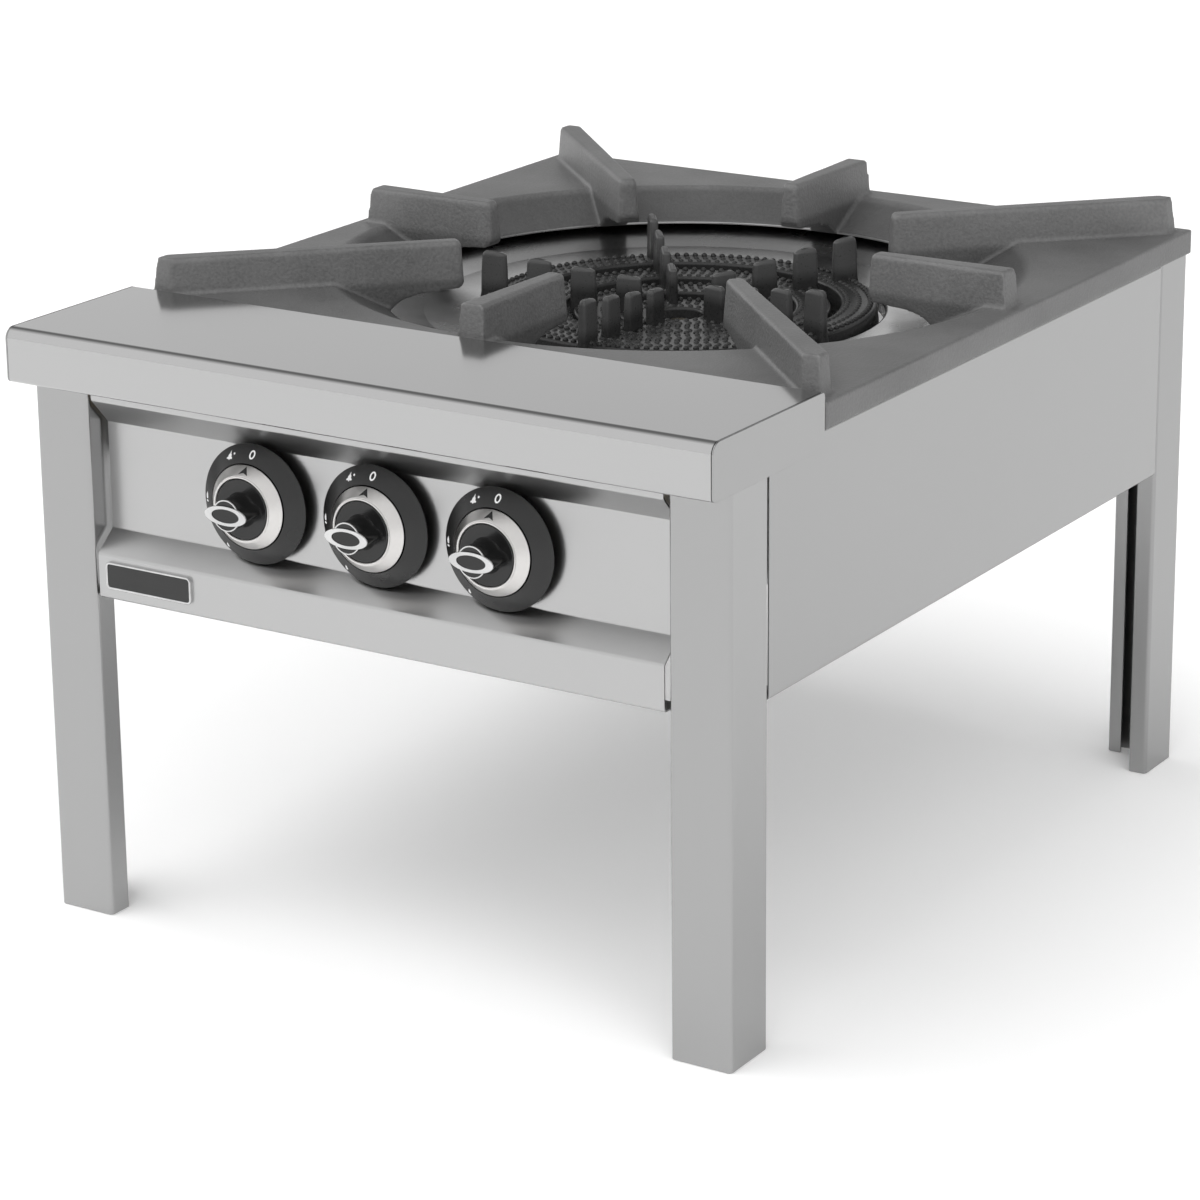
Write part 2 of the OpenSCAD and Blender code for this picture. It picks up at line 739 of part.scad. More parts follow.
module gas_valve(x) {
    neck_y = face_y - nut_t;
    back_y = valve_y + valve_len;
    color(brass_colour) difference() {
        union() {
            rod(x, valve_y, back_y, knob_z, valve_r);
            rod(x, face_back_y, valve_y, knob_z, neck_r + nut_t);
            rod(x, neck_y, valve_y, knob_z, neck_r);
            rod(x, back_y, back_y + outlet_len, knob_z, outlet_r);
            translate([x, manifold_y, manifold_z + pipe_r + pad_h])
                cylinder(h = knob_z - manifold_z - pipe_r - pad_h, r = inlet_boss_r, $fn = 48);
        }
        rod(x, neck_y - overrun, stem_tip_y, knob_z, stem_r + sliding_gap);
        rod(x, stem_tip_y, stem_tip_y + chamber_len, knob_z, chamber_r + sliding_gap);
        rod(x, stem_tip_y, back_y + outlet_len + overrun, knob_z, gas_bore_r);
        rod(x, back_y + outlet_len - tube_socket, back_y + outlet_len + overrun, knob_z, gas_tube_r + sliding_gap);
        translate([x, manifold_y, manifold_z + pipe_r])
            cylinder(h = knob_z - manifold_z - pipe_r, r = inlet_hole_r, $fn = 32);
    }
}

module valve_plunger(x) {
    color(brass_colour) {
        rod(x, stem_tip_y, stem_tip_y + plunger_head_t, knob_z, chamber_r);
        rod(x, stem_tip_y, stem_tip_y + plunger_head_t + plunger_pin_len, knob_z, plunger_pin_r);
    }
}

module valve_stem(x) {
    color(steel_colour) rod(x, skirt_front_y - stem_grip, stem_tip_y, knob_z, stem_r);
}

module knob_dial(x) {
    r0 = skirt_r + dial_play;
    foot_r = (r0 + dial_r) / 2 - dial_foot_inset;
    color(black_colour) turned_knob(x, face_y) polygon([
        [dial_hole_r, 0], [foot_r, 0], [foot_r, dial_foot_t], [dial_r, dial_foot_t],
        [dial_r, dial_foot_t + dial_edge_t], [r0 + dial_edge_t, dial_t], [r0, dial_t], [r0, dial_floor],
        [dial_hole_r, dial_floor]
    ]);
}

module knob_skirt(x) {
    color(bright_colour) turned_knob(x, skirt_back_y) polygon([
        [skirt_bore_r, 0], [skirt_r, 0], [skirt_r, skirt_edge_t], [skirt_front_r, skirt_t],
        [disc_r + disc_play, skirt_t], [disc_r + disc_play, skirt_t - disc_t], [skirt_bore_r, skirt_t - disc_t]
    ]);
}

module knob_grip(x) {
    color(black_colour) difference() {
        union() {
            rod(x, skirt_front_y, skirt_front_y + disc_t, knob_z, disc_r);
            rod(x, grip_tip_y, skirt_front_y + disc_t, knob_z, core_r);
            translate([x, 0, knob_z]) backward(grip_tip_y, grip_len) polygon(oval(grip_w, grip_h));
        }
        rod(x, skirt_front_y - stem_grip, skirt_front_y + disc_t + overrun, knob_z, stem_r + sliding_gap);
    }
}

// The bright rims on the grip's end
module knob_cap(x) {
    color(bright_colour) translate([x, 0, knob_z]) backward(grip_tip_y - cap_t, cap_t) {
        difference() {
            polygon(oval(grip_w, grip_h));
            polygon(oval(grip_w - 2 * cap_edge, grip_h - 2 * cap_edge));
        }
        difference() {
            circle(r = core_r, $fn = 64);
            circle(r = core_r - cap_ring_edge, $fn = 64);
            polygon(oval(grip_w - cap_edge, grip_h - cap_edge));
        }
    }
}

module gas_tube(k, x) {
    start_y = valve_y + valve_len + outlet_len;
    end_y = bulkhead_y - sheet_t - injector_hex_t - injector_inlet;
    shift = [tube_x[k] - x, tube_z - knob_z];
    turn_r = min(norm(shift), end_y - start_y) / 2;
    spare = (end_y - start_y) / 2 - turn_r;
    middle = norm(shift) - 2 * turn_r;
    roll = atan2(shift[1], -shift[0]);
    color(pipe_colour) translate([x, start_y - tube_socket, knob_z]) rotate([0, roll, 0])
        bent_tube([[tube_socket + spare, 0, 90], [middle, 180, 90], [spare + injector_inlet]], gas_tube_r, turn_r);
}

module manifold_path(inset, r) {
    run = manifold_right_x - manifold_left_x - manifold_turn_r - inset;
    length = y_back - coupling_back_gap - coupling_len + coupling_socket - manifold_y - manifold_turn_r;
    translate([manifold_left_x + inset, manifold_y, manifold_z]) rotate([0, 0, -90])
        bent_tube([[run, 0, 90], [length + inset]], r, manifold_turn_r);
}

module gas_manifold() {
    color(pipe_colour) difference() {
        union() {
            manifold_path(0, pipe_r);
            for (k = [-1:1])
                translate([k * knob_pitch, manifold_y, manifold_z])
                    cylinder(h = pipe_r + pad_h, r = pad_r, $fn = 48);
        }
        manifold_path(pipe_wall, pipe_r - pipe_wall);
        for (k = [-1:1])
            translate([k * knob_pitch, manifold_y, manifold_z])
                cylinder(h = pipe_r + pad_h + overrun, r = inlet_hole_r, $fn = 32);
    }
}

module inlet_coupling() {
    y1 = y_back - coupling_back_gap;
    y0 = y1 - coupling_len;
    color(pipe_colour) difference() {
        rod(manifold_right_x, y0, y1, manifold_z, coupling_r);
        rod(manifold_right_x, y0 - overrun, y0 + coupling_socket, manifold_z, pipe_r + sliding_gap);
        rod(manifold_right_x, y0, y1 + overrun, manifold_z, inlet_bore_r);
    }
}

module pilot_burner() {
    foot_z = ring_base_z - 2 * bar_t;
    low = [bar_x[0], burner_y - pilot_foot / 2, foot_z];
    color(brass_colour) {
        translate(low) cube([bar_x[1] - bar_x[0], pilot_foot, bar_t]);
        translate([0, burner_y, foot_z]) cylinder(h = bar_t + pilot_rise, r = pilot_r, $fn = 48);
        translate([0, burner_y, foot_z + bar_t + pilot_rise]) cylinder(h = pilot_head_h, r = pilot_head_r, $fn = 48);
        translate([pilot_tube_x, burner_y, foot_z + bar_t / 2]) rotate([-90, 0, 0])
            bent_tube([
                [foot_z + bar_t / 2 - pilot_tube_z() - pilot_turn_r, -90, 90],
                [burner_y - manifold_y - 2 * pilot_turn_r, 180, 90],
                [pilot_tube_z() - pilot_turn_r - manifold_z - pipe_r - neck_play]
            ], pilot_tube_r, pilot_turn_r);
    }
}

module burner_bolts() {
    color(steel_colour)
        for (bar = [0, 1], ring = [0:2])
            translate([bar_x[bar], bolt_y(bar, ring), ring_base_z - bar_t]) {
                cylinder(h = bolt_len, r = bolt_r, $fn = 24);
                translate([0, 0, -bolt_head_t]) cylinder(h = bolt_head_t, r = bolt_head_r, $fn = 6);
            }
}

module valve_nuts() {
    color(steel_colour)
        for (k = [-1:1])
            difference() {
                translate([k * knob_pitch, face_y, knob_z]) rotate([90, 0, 0]) cylinder(h = nut_t, r = nut_r, $fn = 6);
                rod(k * knob_pitch, face_y - nut_t - overrun, face_y + overrun, knob_z, neck_r + sliding_gap);
            }
}

front_tray();
leg_front(-1);  // leg_front_left
leg_front(1);  // leg_front_right
leg_rear(-1);  // leg_rear_left
leg_rear(1);  // leg_rear_right
control_panel();
side_panel(-1);  // side_panel_left
side_panel(1);  // side_panel_right
rear_panel();
front_bulkhead();
burner_bar(0);  // burner_bar_left
burner_bar(1);  // burner_bar_right
badge_plate();
grate();
drip_bowl();
burner(0);  // burner_outer
burner(1);  // burner_middle
burner(2);  // burner_inner
mixing_tube(0);  // mixing_tube_outer
mixing_tube(1);  // mixing_tube_middle
mixing_tube(2);  // mixing_tube_inner
injector(0);  // injector_outer
injector(1);  // injector_middle
injector(2);  // injector_inner
air_shutter(0);  // air_shutter_outer
air_shutter(1);  // air_shutter_middle
air_shutter(2);  // air_shutter_inner
gas_valve(-knob_pitch);  // gas_valve_left
gas_valve(0);  // gas_valve_centre
gas_valve(knob_pitch);  // gas_valve_right
valve_plunger(-knob_pitch);  // valve_plunger_left
valve_plunger(0);  // valve_plunger_centre
valve_plunger(knob_pitch);  // valve_plunger_right
valve_stem(-knob_pitch);  // valve_stem_left
valve_stem(0);  // valve_stem_centre
valve_stem(knob_pitch);  // valve_stem_right
knob_dial(-knob_pitch);  // knob_dial_left
knob_dial(0);  // knob_dial_centre
knob_dial(knob_pitch);  // knob_dial_right
knob_skirt(-knob_pitch);  // knob_skirt_left
knob_skirt(0);  // knob_skirt_centre
knob_skirt(knob_pitch);  // knob_skirt_right
knob_grip(-knob_pitch);  // knob_grip_left
knob_grip(0);  // knob_grip_centre
knob_grip(knob_pitch);  // knob_grip_right
knob_cap(-knob_pitch);  // knob_cap_left
knob_cap(0);  // knob_cap_centre
knob_cap(knob_pitch);  // knob_cap_right
gas_tube(0, -knob_pitch);  // gas_tube_left
gas_tube(2, 0);  // gas_tube_centre
gas_tube(1, knob_pitch);  // gas_tube_right
gas_manifold();
inlet_coupling();
pilot_burner();
burner_bolts();
valve_nuts();
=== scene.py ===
"""Looks of the gas stock pot range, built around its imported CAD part.

The body is satin sheet steel, the grate a sandy grey casting and the burner a black one with rows of
small flame ports. Outlines are in millimetres and in the part's own frame: X to the right, Y to the
back and Z up from the floor.
"""

import json
import math
import random

import bmesh
import bpy
from mathutils import Matrix, Vector

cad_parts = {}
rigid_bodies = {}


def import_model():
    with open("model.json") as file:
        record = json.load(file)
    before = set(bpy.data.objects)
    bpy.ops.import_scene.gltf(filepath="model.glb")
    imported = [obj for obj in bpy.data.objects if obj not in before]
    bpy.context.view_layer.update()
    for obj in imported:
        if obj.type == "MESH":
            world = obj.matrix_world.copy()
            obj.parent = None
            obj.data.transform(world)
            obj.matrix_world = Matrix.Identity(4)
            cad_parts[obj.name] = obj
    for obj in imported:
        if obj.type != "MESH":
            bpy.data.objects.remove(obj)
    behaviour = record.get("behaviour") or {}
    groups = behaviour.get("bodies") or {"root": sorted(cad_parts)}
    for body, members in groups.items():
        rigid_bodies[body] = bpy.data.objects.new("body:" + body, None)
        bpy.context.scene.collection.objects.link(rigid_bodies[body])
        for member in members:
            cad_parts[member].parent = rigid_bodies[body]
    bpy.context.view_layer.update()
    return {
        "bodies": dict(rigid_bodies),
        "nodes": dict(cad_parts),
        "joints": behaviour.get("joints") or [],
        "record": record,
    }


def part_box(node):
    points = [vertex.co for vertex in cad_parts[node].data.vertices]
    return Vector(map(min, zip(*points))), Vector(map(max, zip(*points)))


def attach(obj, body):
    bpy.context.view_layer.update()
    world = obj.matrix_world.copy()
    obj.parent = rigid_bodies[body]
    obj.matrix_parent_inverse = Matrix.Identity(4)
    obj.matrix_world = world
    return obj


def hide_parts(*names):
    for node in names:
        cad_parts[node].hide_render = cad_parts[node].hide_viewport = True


MM = 0.001
SIDES = ("left", "centre", "right")
RINGS = ("outer", "middle", "inner")


# Small geometry helpers


def mesh_object(name, verts, faces):
    """A mesh object from points in millimetres, with its faces turned outward."""
    mesh = bpy.data.meshes.new(name)
    mesh.from_pydata([Vector(v) * MM for v in verts], [], faces)
    work = bmesh.new()
    work.from_mesh(mesh)
    bmesh.ops.recalc_face_normals(work, faces=work.faces)
    return finished(name, mesh, work)


def finished(name, mesh, work):
    """Writes a work mesh into a mesh, and links an object that shows it."""
    work.to_mesh(mesh)
    work.free()
    obj = bpy.data.objects.new(name, mesh)
    bpy.context.collection.objects.link(obj)
    return obj


def join(name, objects):
    """One object made of several."""
    work = bmesh.new()
    for obj in objects:
        work.from_mesh(obj.data)
    for obj in objects:
        bpy.data.objects.remove(obj)
    return finished(name, bpy.data.meshes.new(name), work)


def soften(obj, width=0.0, limit=40.0, segments=2):
    """Smooth shading that keeps flat faces flat, with a small bevel on the sharp edges."""
    for face in obj.data.polygons:
        face.use_smooth = True
    if width > 0:
        bevel = obj.modifiers.new("edges", "BEVEL")
        bevel.width = width * MM
        bevel.segments = segments
        bevel.limit_method = "ANGLE"
        bevel.angle_limit = math.radians(limit)
    else:
        mark_sharp(obj, limit)
    weighted = obj.modifiers.new("flat faces", "WEIGHTED_NORMAL")
    weighted.keep_sharp = True


def mark_sharp(obj, limit):
    """Marks the edges that turn by more than limit degrees."""
    work = bmesh.new()
    work.from_mesh(obj.data)
    for edge in work.edges:
        if len(edge.link_faces) == 2:
            edge.smooth = edge.calc_face_angle() < math.radians(limit)
    work.to_mesh(obj.data)
    work.free()


def dress(obj, body, slot, material, *nodes):
    """Gives a piece its material, and ties it to the CAD body and nodes that it stands for."""
    obj.data.materials.clear()
    obj.data.materials.append(material)
    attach(obj, body)
    if nodes:
        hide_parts(*nodes)


def bend(before, corner, after, radius, offset, steps):
    """Points of one rounded corner of a path, shifted to the path's left by offset."""
    u = (corner - before).normalized()
    v = (after - corner).normalized()
    angle = math.atan2(u.x * v.y - u.y * v.x, u.dot(v))
    side = math.copysign(1, angle)
    inward = Vector((-u.y, u.x)) * side
    centre = corner - u * radius * math.tan(abs(angle) / 2) + inward * radius
    reach = radius - side * offset
    return [centre - Matrix.Rotation(angle * k / steps, 2) @ inward * reach for k in range(steps + 1)]


def shifted(path, radii, offset, steps):
    """A path with rounded corners, shifted to its left by offset."""
    first = (path[1] - path[0]).normalized()
    last = (path[-1] - path[-2]).normalized()
    points = [path[0] + Vector((-first.y, first.x)) * offset]
    for i, radius in enumerate(radii):
        points += bend(path[i], path[i + 1], path[i + 2], radius, offset, steps)
    points.append(path[-1] + Vector((-last.y, last.x)) * offset)
    return points


def sheet_outline(path, radii, thickness, steps=8):
    """Outline of a folded sheet whose middle follows a path."""
    path = [Vector(p) for p in path]
    left = shifted(path, radii, thickness / 2, steps)
    right = shifted(path, radii, -thickness / 2, steps)
    return left + right[::-1]


def prism(name, outline, low, high, place):
    """An outline drawn out from low to high. place turns (u, v, w) into a point."""
    count = len(outline)
    verts = [place(p[0], p[1], w) for w in (low, high) for p in outline]
    faces = [(i, (i + 1) % count, count + (i + 1) % count, count + i) for i in range(count)]
    faces.append(tuple(range(count))[::-1])
    faces.append(tuple(range(count, 2 * count)))
    return mesh_object(name, verts, faces)


def across(u, v, w):
    """A profile drawn in Y and Z, drawn out along X."""
    return (w, u, v)


def along(u, v, w):
    """A profile drawn in X and Z, drawn out along Y."""
    return (u, w, v)


def upright(u, v, w):
    """A profile drawn in X and Y, drawn out along Z."""
    return (u, v, w)


def loft(name, rings, closed=False):
    """A skin over rings of points with the same count, capped unless it closes on itself."""
    count = len(rings[0])
    verts = [p for ring in rings for p in ring]
    faces = []
    spans = len(rings) if closed else len(rings) - 1
    for i in range(spans):
        a = i * count
        b = (i + 1) % len(rings) * count
        faces += [(a + j, a + (j + 1) % count, b + (j + 1) % count, b + j) for j in range(count)]
    if not closed:
        faces.append(tuple(range(count))[::-1])
        faces.append(tuple(range(len(verts) - count, len(verts))))
    return mesh_object(name, verts, faces)


def revolve(name, profile, place, steps=128):
    """A closed (radius, height) profile turned about an axis. place turns (x, y, height) into a point."""
    rings = []
    for k in range(steps):
        a = 2 * math.pi * k / steps
        rings.append([place(r * math.cos(a), r * math.sin(a), h) for r, h in profile])
    return loft(name, rings, closed=True)


def around(centre_y):
    """A place for revolve: about the upright axis that the grate, the bowl and the burner share."""
    return lambda x, y, z: (x, centre_y + y, z)


def arc(centre, radius, start, end, steps):
    """Points of an arc, with angles in degrees."""
    points = []
    for k in range(steps + 1):
        a = math.radians(start + (end - start) * k / steps)
        points.append((centre[0] + radius * math.cos(a), centre[1] + radius * math.sin(a)))
    return points


# Materials

GRAIN_X = (8, 700, 700)
GRAIN_Y = (700, 8, 700)
GRAIN_Z = (700, 700, 8)
NO_GRAIN = (40, 40, 40)
SILVER_WARMTH = 0.02
# Painted light on the burner's posts: its tone, and the height over which it fades in.
POST_LIGHT_TONE = 0.055
POST_LIGHT_FADE = 9.0
# Tone of the lightened grate edges: partly wear, partly painted highlight.
EDGE_WEAR_AND_HIGHLIGHT_TONE = 0.32
# Painted shade inside the grate's funnel: its tone, and where it fades in by radius and by height.
FUNNEL_SHADE_TONE = 0.55
FUNNEL_SHADE_EDGE = (-6.0, 2.0)
FUNNEL_SHADE_DEPTH = (-4.0, 1.0)


def node(tree, kind, **values):
    """A shader node with settings. A value named in_NAME goes to the input of that name."""
    made = tree.nodes.new(kind)
    for key, value in values.items():
        if key.startswith("in_"):
            made.inputs[key[3:].replace("_", " ")].default_value = value
        else:
            setattr(made, key, value)
    return made


def surface(tree):
    return tree.nodes["Principled BSDF"]


def grey(value, warm=0.0):
    return (value * (1 + warm), value, value * (1 - warm), 1)


def base_material(name, colour, roughness, metallic, **more):
    material = bpy.data.materials.new(name)
    material.use_nodes = True
    shader = surface(material.node_tree)
    shader.inputs["Base Color"].default_value = colour
    shader.inputs["Roughness"].default_value = roughness
    shader.inputs["Metallic"].default_value = metallic
    for key, value in more.items():
        shader.inputs[key.replace("_", " ")].default_value = value
    return material


def noise(tree, scale, detail=3.0, stretch=(1, 1, 1)):
    """A noise texture in the part's frame, stretched along its axes."""
    place = node(tree, "ShaderNodeTexCoord")
    mapping = node(tree, "ShaderNodeMapping", in_Scale=stretch)
    texture = node(tree, "ShaderNodeTexNoise", in_Scale=scale, in_Detail=detail)
    tree.links.new(place.outputs["Object"], mapping.inputs["Vector"])
    tree.links.new(mapping.outputs["Vector"], texture.inputs["Vector"])
    return texture.outputs["Fac"]


def spread(tree, value, low, high, start=0.3, end=0.7):
    """Maps a value between start and end, as most noise is, to a range of another value."""
    ranged = node(tree, "ShaderNodeMapRange", in_From_Min=start, in_From_Max=end,
                  in_To_Min=low, in_To_Max=high)
    tree.links.new(value, ranged.inputs["Value"])
    return ranged.outputs["Result"]


def blend(tree, first, second, share):
    """A weighted sum of two noise values."""
    total = node(tree, "ShaderNodeMath", operation="MULTIPLY_ADD")
    total.inputs[1].default_value = share
    tree.links.new(first, total.inputs[0])
    tree.links.new(spread(tree, second, 0, 1 - share), total.inputs[2])
    return total.outputs["Value"]


def set_colour(tree, value, dark, light):
    mixed = node(tree, "ShaderNodeMixRGB", in_Color1=dark, in_Color2=light)
    tree.links.new(value, mixed.inputs["Fac"])
    tree.links.new(mixed.outputs["Color"], surface(tree).inputs["Base Color"])


def tint(tree, value, tone, how="MIX"):
    """Mixes a grey over the colour that the surface has, where value is above zero."""
    colour = surface(tree).inputs["Base Color"].links[0].from_socket
    mixed = node(tree, "ShaderNodeMixRGB", blend_type=how, in_Color2=grey(tone))
    tree.links.new(value, mixed.inputs["Fac"])
    tree.links.new(colour, mixed.inputs["Color1"])
    tree.links.new(mixed.outputs["Color"], surface(tree).inputs["Base Color"])


def set_roughness(tree, value, low, high):
    tree.links.new(spread(tree, value, low, high), surface(tree).inputs["Roughness"])


def set_bump(tree, value, depth, below=None):
    """Adds a bump of a real depth in millimetres, over the one below."""
    bump = node(tree, "ShaderNodeBump", in_Strength=1.0, in_Distance=depth * MM)
    tree.links.new(value, bump.inputs["Height"])
    if below is not None:
        tree.links.new(below, bump.inputs["Normal"])
    tree.links.new(bump.outputs["Normal"], surface(tree).inputs["Normal"])
    return bump.outputs["Normal"]


def brushed(name, stretch, tone, rough, grain=0.0):
    """Satin sheet steel with a fine grain along one axis and faint cloudy marks."""
    material = base_material(name, grey(tone), rough[0], 1.0)
    tree = material.node_tree
    fine = noise(tree, 1.0, 2.0, stretch)
    cloud = noise(tree, 5.0, 4.0)
    set_roughness(tree, fine, *rough)
    set_colour(tree, blend(tree, fine, cloud, 0.35), grey(tone * 0.99), grey(tone * 1.01))
    if grain:
        set_bump(tree, fine, grain)
    return material


def casting(name, dark, light, rough, sand, sand_depth, lump_depth, shine=0.5):
    """Cast iron: a sandy skin over low lumps, with lighter worn patches."""
    material = base_material(name, grey(dark), rough[0], 0.0, Specular_IOR_Level=shine)
    tree = material.node_tree
    skin = noise(tree, sand, 4.0)
    lumps = noise(tree, sand / 12, 3.0)
    patches = noise(tree, 14.0, 5.0)
    set_roughness(tree, skin, *rough)
    sandy = spread(tree, skin, 0, 1, 0.35, 0.65)
    set_colour(tree, blend(tree, sandy, patches, 0.45), grey(dark), grey(light))
    below = set_bump(tree, lumps, lump_depth)
    set_bump(tree, skin, sand_depth, below)
    return material


def frame_place(tree):
    """A point's place in the part's frame, and its height there."""
    place = node(tree, "ShaderNodeTexCoord")
    split = node(tree, "ShaderNodeSeparateXYZ")
    tree.links.new(place.outputs["Object"], split.inputs["Vector"])
    return place.outputs["Object"], split.outputs["Z"]


def paint_funnel_shade(tree, centre_y):
    """Painted shade: darkens the grate below its top, inside a circle about the burner's axis, where the
    funnel lies in the fins' shadow.
    """
    place, height = frame_place(tree)
    flat = node(tree, "ShaderNodeMapping", in_Location=(0, -centre_y * MM, 0), in_Scale=(1, 1, 0))
    distance = node(tree, "ShaderNodeVectorMath", operation="LENGTH")
    tree.links.new(place, flat.inputs["Vector"])
    tree.links.new(flat.outputs["Vector"], distance.inputs[0])
    edge = [(FUNNEL_RADIUS + step) * MM for step in FUNNEL_SHADE_EDGE]
    depth = [(PLATE_Z + step) * MM for step in FUNNEL_SHADE_DEPTH]
    both = node(tree, "ShaderNodeMath", operation="MULTIPLY")
    tree.links.new(spread(tree, distance.outputs["Value"], 1, 0, *edge), both.inputs[0])
    tree.links.new(spread(tree, height, 1, 0, *depth), both.inputs[1])
    tint(tree, both.outputs["Value"], FUNNEL_SHADE_TONE, "MULTIPLY")


def wear_and_highlight_edges(tree):
    """Lightens the raised edges of a dense mesh, partly where a casting rubs bare and partly as a painted
    highlight along its edges.
    """
    shape = node(tree, "ShaderNodeNewGeometry")
    tint(tree, spread(tree, shape.outputs["Pointiness"], 0, 0.5, 0.54, 0.64), EDGE_WEAR_AND_HIGHLIGHT_TONE)


def paint_post_light(tree):
    """Paints the burner's posts lighter above the rings' black tops: painted light on their upright faces.
    """
    start = (RING_TOPS[0] + BEAD_RADIUS + 1) * MM
    height = frame_place(tree)[1]
    tint(tree, spread(tree, height, 0, 1, start, start + POST_LIGHT_FADE * MM), POST_LIGHT_TONE)


def moulding(name, tone, rough, grain=0.01):
    """Black moulded plastic with a faint grain."""
    material = base_material(name, grey(tone), rough, 0.0)
    tree = material.node_tree
    skin = noise(tree, 900.0, 2.0)
    smears = noise(tree, 40.0, 3.0)
    set_roughness(tree, smears, rough * 0.85, rough * 1.2)
    set_colour(tree, spread(tree, smears, 0, 1), grey(tone * 0.9), grey(tone * 1.15))
    set_bump(tree, skin, grain)
    return material


def turned_metal(name, tone, rough):
    """Turned metal that shines in fans around the knob's axis."""
    material = base_material(name, grey(tone, SILVER_WARMTH), rough, 1.0, Anisotropic=0.5)
    tree = material.node_tree
    tangent = node(tree, "ShaderNodeTangent", direction_type="RADIAL", axis="Y")
    tree.links.new(tangent.outputs["Tangent"], surface(tree).inputs["Tangent"])
    marks = noise(tree, 260.0, 3.0)
    set_roughness(tree, marks, rough * 0.95, rough * 1.05)
    dark, light = (grey(tone * share, SILVER_WARMTH) for share in (0.98, 1.01))
    set_colour(tree, spread(tree, marks, 0, 1), dark, light)
    return material


def metal(name, colour, rough):
    """Plain metal with uneven polish."""
    material = base_material(name, (*colour, 1), rough, 1.0)
    tree = material.node_tree
    marks = noise(tree, 60.0, 4.0)
    set_roughness(tree, marks, rough * 0.8, rough * 1.3)
    dark, light = ([min(1, c * share) for c in colour] + [1] for share in (0.85, 1.08))
    set_colour(tree, spread(tree, marks, 0, 1), dark, light)
    return material


def make_materials():
    return {
        # The satin steels are one steel; their tones differ from sheet to sheet as painted light and shade
        # for the way each sheet faces.
        "steel_x": brushed("satin steel, grain along X", GRAIN_X, 0.465, (0.275, 0.28)),
        "steel_y": brushed("satin steel, grain along Y", GRAIN_Y, 0.36, (0.262, 0.27)),
        "steel_z": brushed("satin steel, grain along Z", GRAIN_Z, 0.38, (0.262, 0.27)),
        # A darker copy of the leg steel: painted shade on the rear legs, and a little rougher.
        "shaded_rear_steel": brushed("rougher steel of the rear legs, darker by painted shade", GRAIN_Z, 0.34, (0.28, 0.29)),
        "tray": brushed("satin steel of the tray", GRAIN_X, 0.46, (0.12, 0.13)),
        "bright": brushed("bright pressed steel", NO_GRAIN, 0.55, (0.22, 0.28), 0.001),
        "grate": casting("grey enamelled cast iron", 0.07, 0.13, (0.42, 0.55), 420.0, 0.4, 0.5, 0.8),
        "burner": casting("black cast iron", 0.014, 0.028, (0.26, 0.36), 500.0, 0.06, 0.2, 0.35),
        "tube_iron": casting("bare cast iron", 0.07, 0.14, (0.5, 0.7), 500.0, 0.15, 0.3),
        "dial": moulding("black dial moulding", 0.008, 0.31),
        "grip": moulding("black grip moulding", 0.007, 0.20, 0.004),
        "silver": turned_metal("turned silver skirt", 0.66, 0.30),
        "trim": metal("bright trim", (0.62, 0.62, 0.62), 0.14),
        # Bare worn edge with a painted highlight: the bright bead under the grate's lip.
        "worn": metal("worn lip edge with painted highlight", (0.42, 0.42, 0.42), 0.30),
        "mark": base_material("white print", grey(0.80), 0.5, 0.0),
        "brass": metal("machined brass", (0.78, 0.57, 0.24), 0.28),
        "stained": metal("heat-stained brass", (0.10, 0.085, 0.06), 0.42),
        "zinc": metal("zinc-plated steel", (0.60, 0.61, 0.62), 0.34),
        "aluminium": metal("drawn aluminium", (0.74, 0.75, 0.76), 0.3),
        "badge": moulding("black badge plate", 0.012, 0.18, 0.002),
    }


# Sheet-metal body

SHEET = 1.5
BEND = 2.5
EDGE = 0.25
TRAY_TOP = 460.0
SEAT_Z = 433.0
TRAY_WIDTH = 600.0
TRAY_DEPTH = 149.0
TRAY_SEAM = 0.35
TRAY_STEPS = 12
SKIRT_BEVEL = 0.45
APRON = 41.0
APRON_RADIUS = 8.0
APRON_HEM = 12.0
HEM_RADIUS = 3.0
LEG_FACE_X = 297.5
LEG_FRONT_Y = -348.0
LEG_WIDTH = 49.0
LEG_DEPTH = 50.0
LEG_RETURN = 20.0
SIDE_RETURN = 15.0
HOOK_WIDTH = 12.0
BACK_Y = 375.0
SHELL_Z = 255.0
SEAM = 0.8
SIDE_LIFT = 3.0
SIDE_FLANGE = 28.0
PANEL_GAP = 3.5
PANEL_FLANGE = 27.0
RECESS = 18.0
RAIL = 34.0
SLANT = 16.0
UPPER_SLANT = 20.0
FACE_HEIGHT = 82.0
BADGE_BASE = 1.6
BADGE_CORNER = 4.0
BADGE_INSET = 0.6
BADGE_FRAME = 1.8
BADGE_BEVEL = 0.5


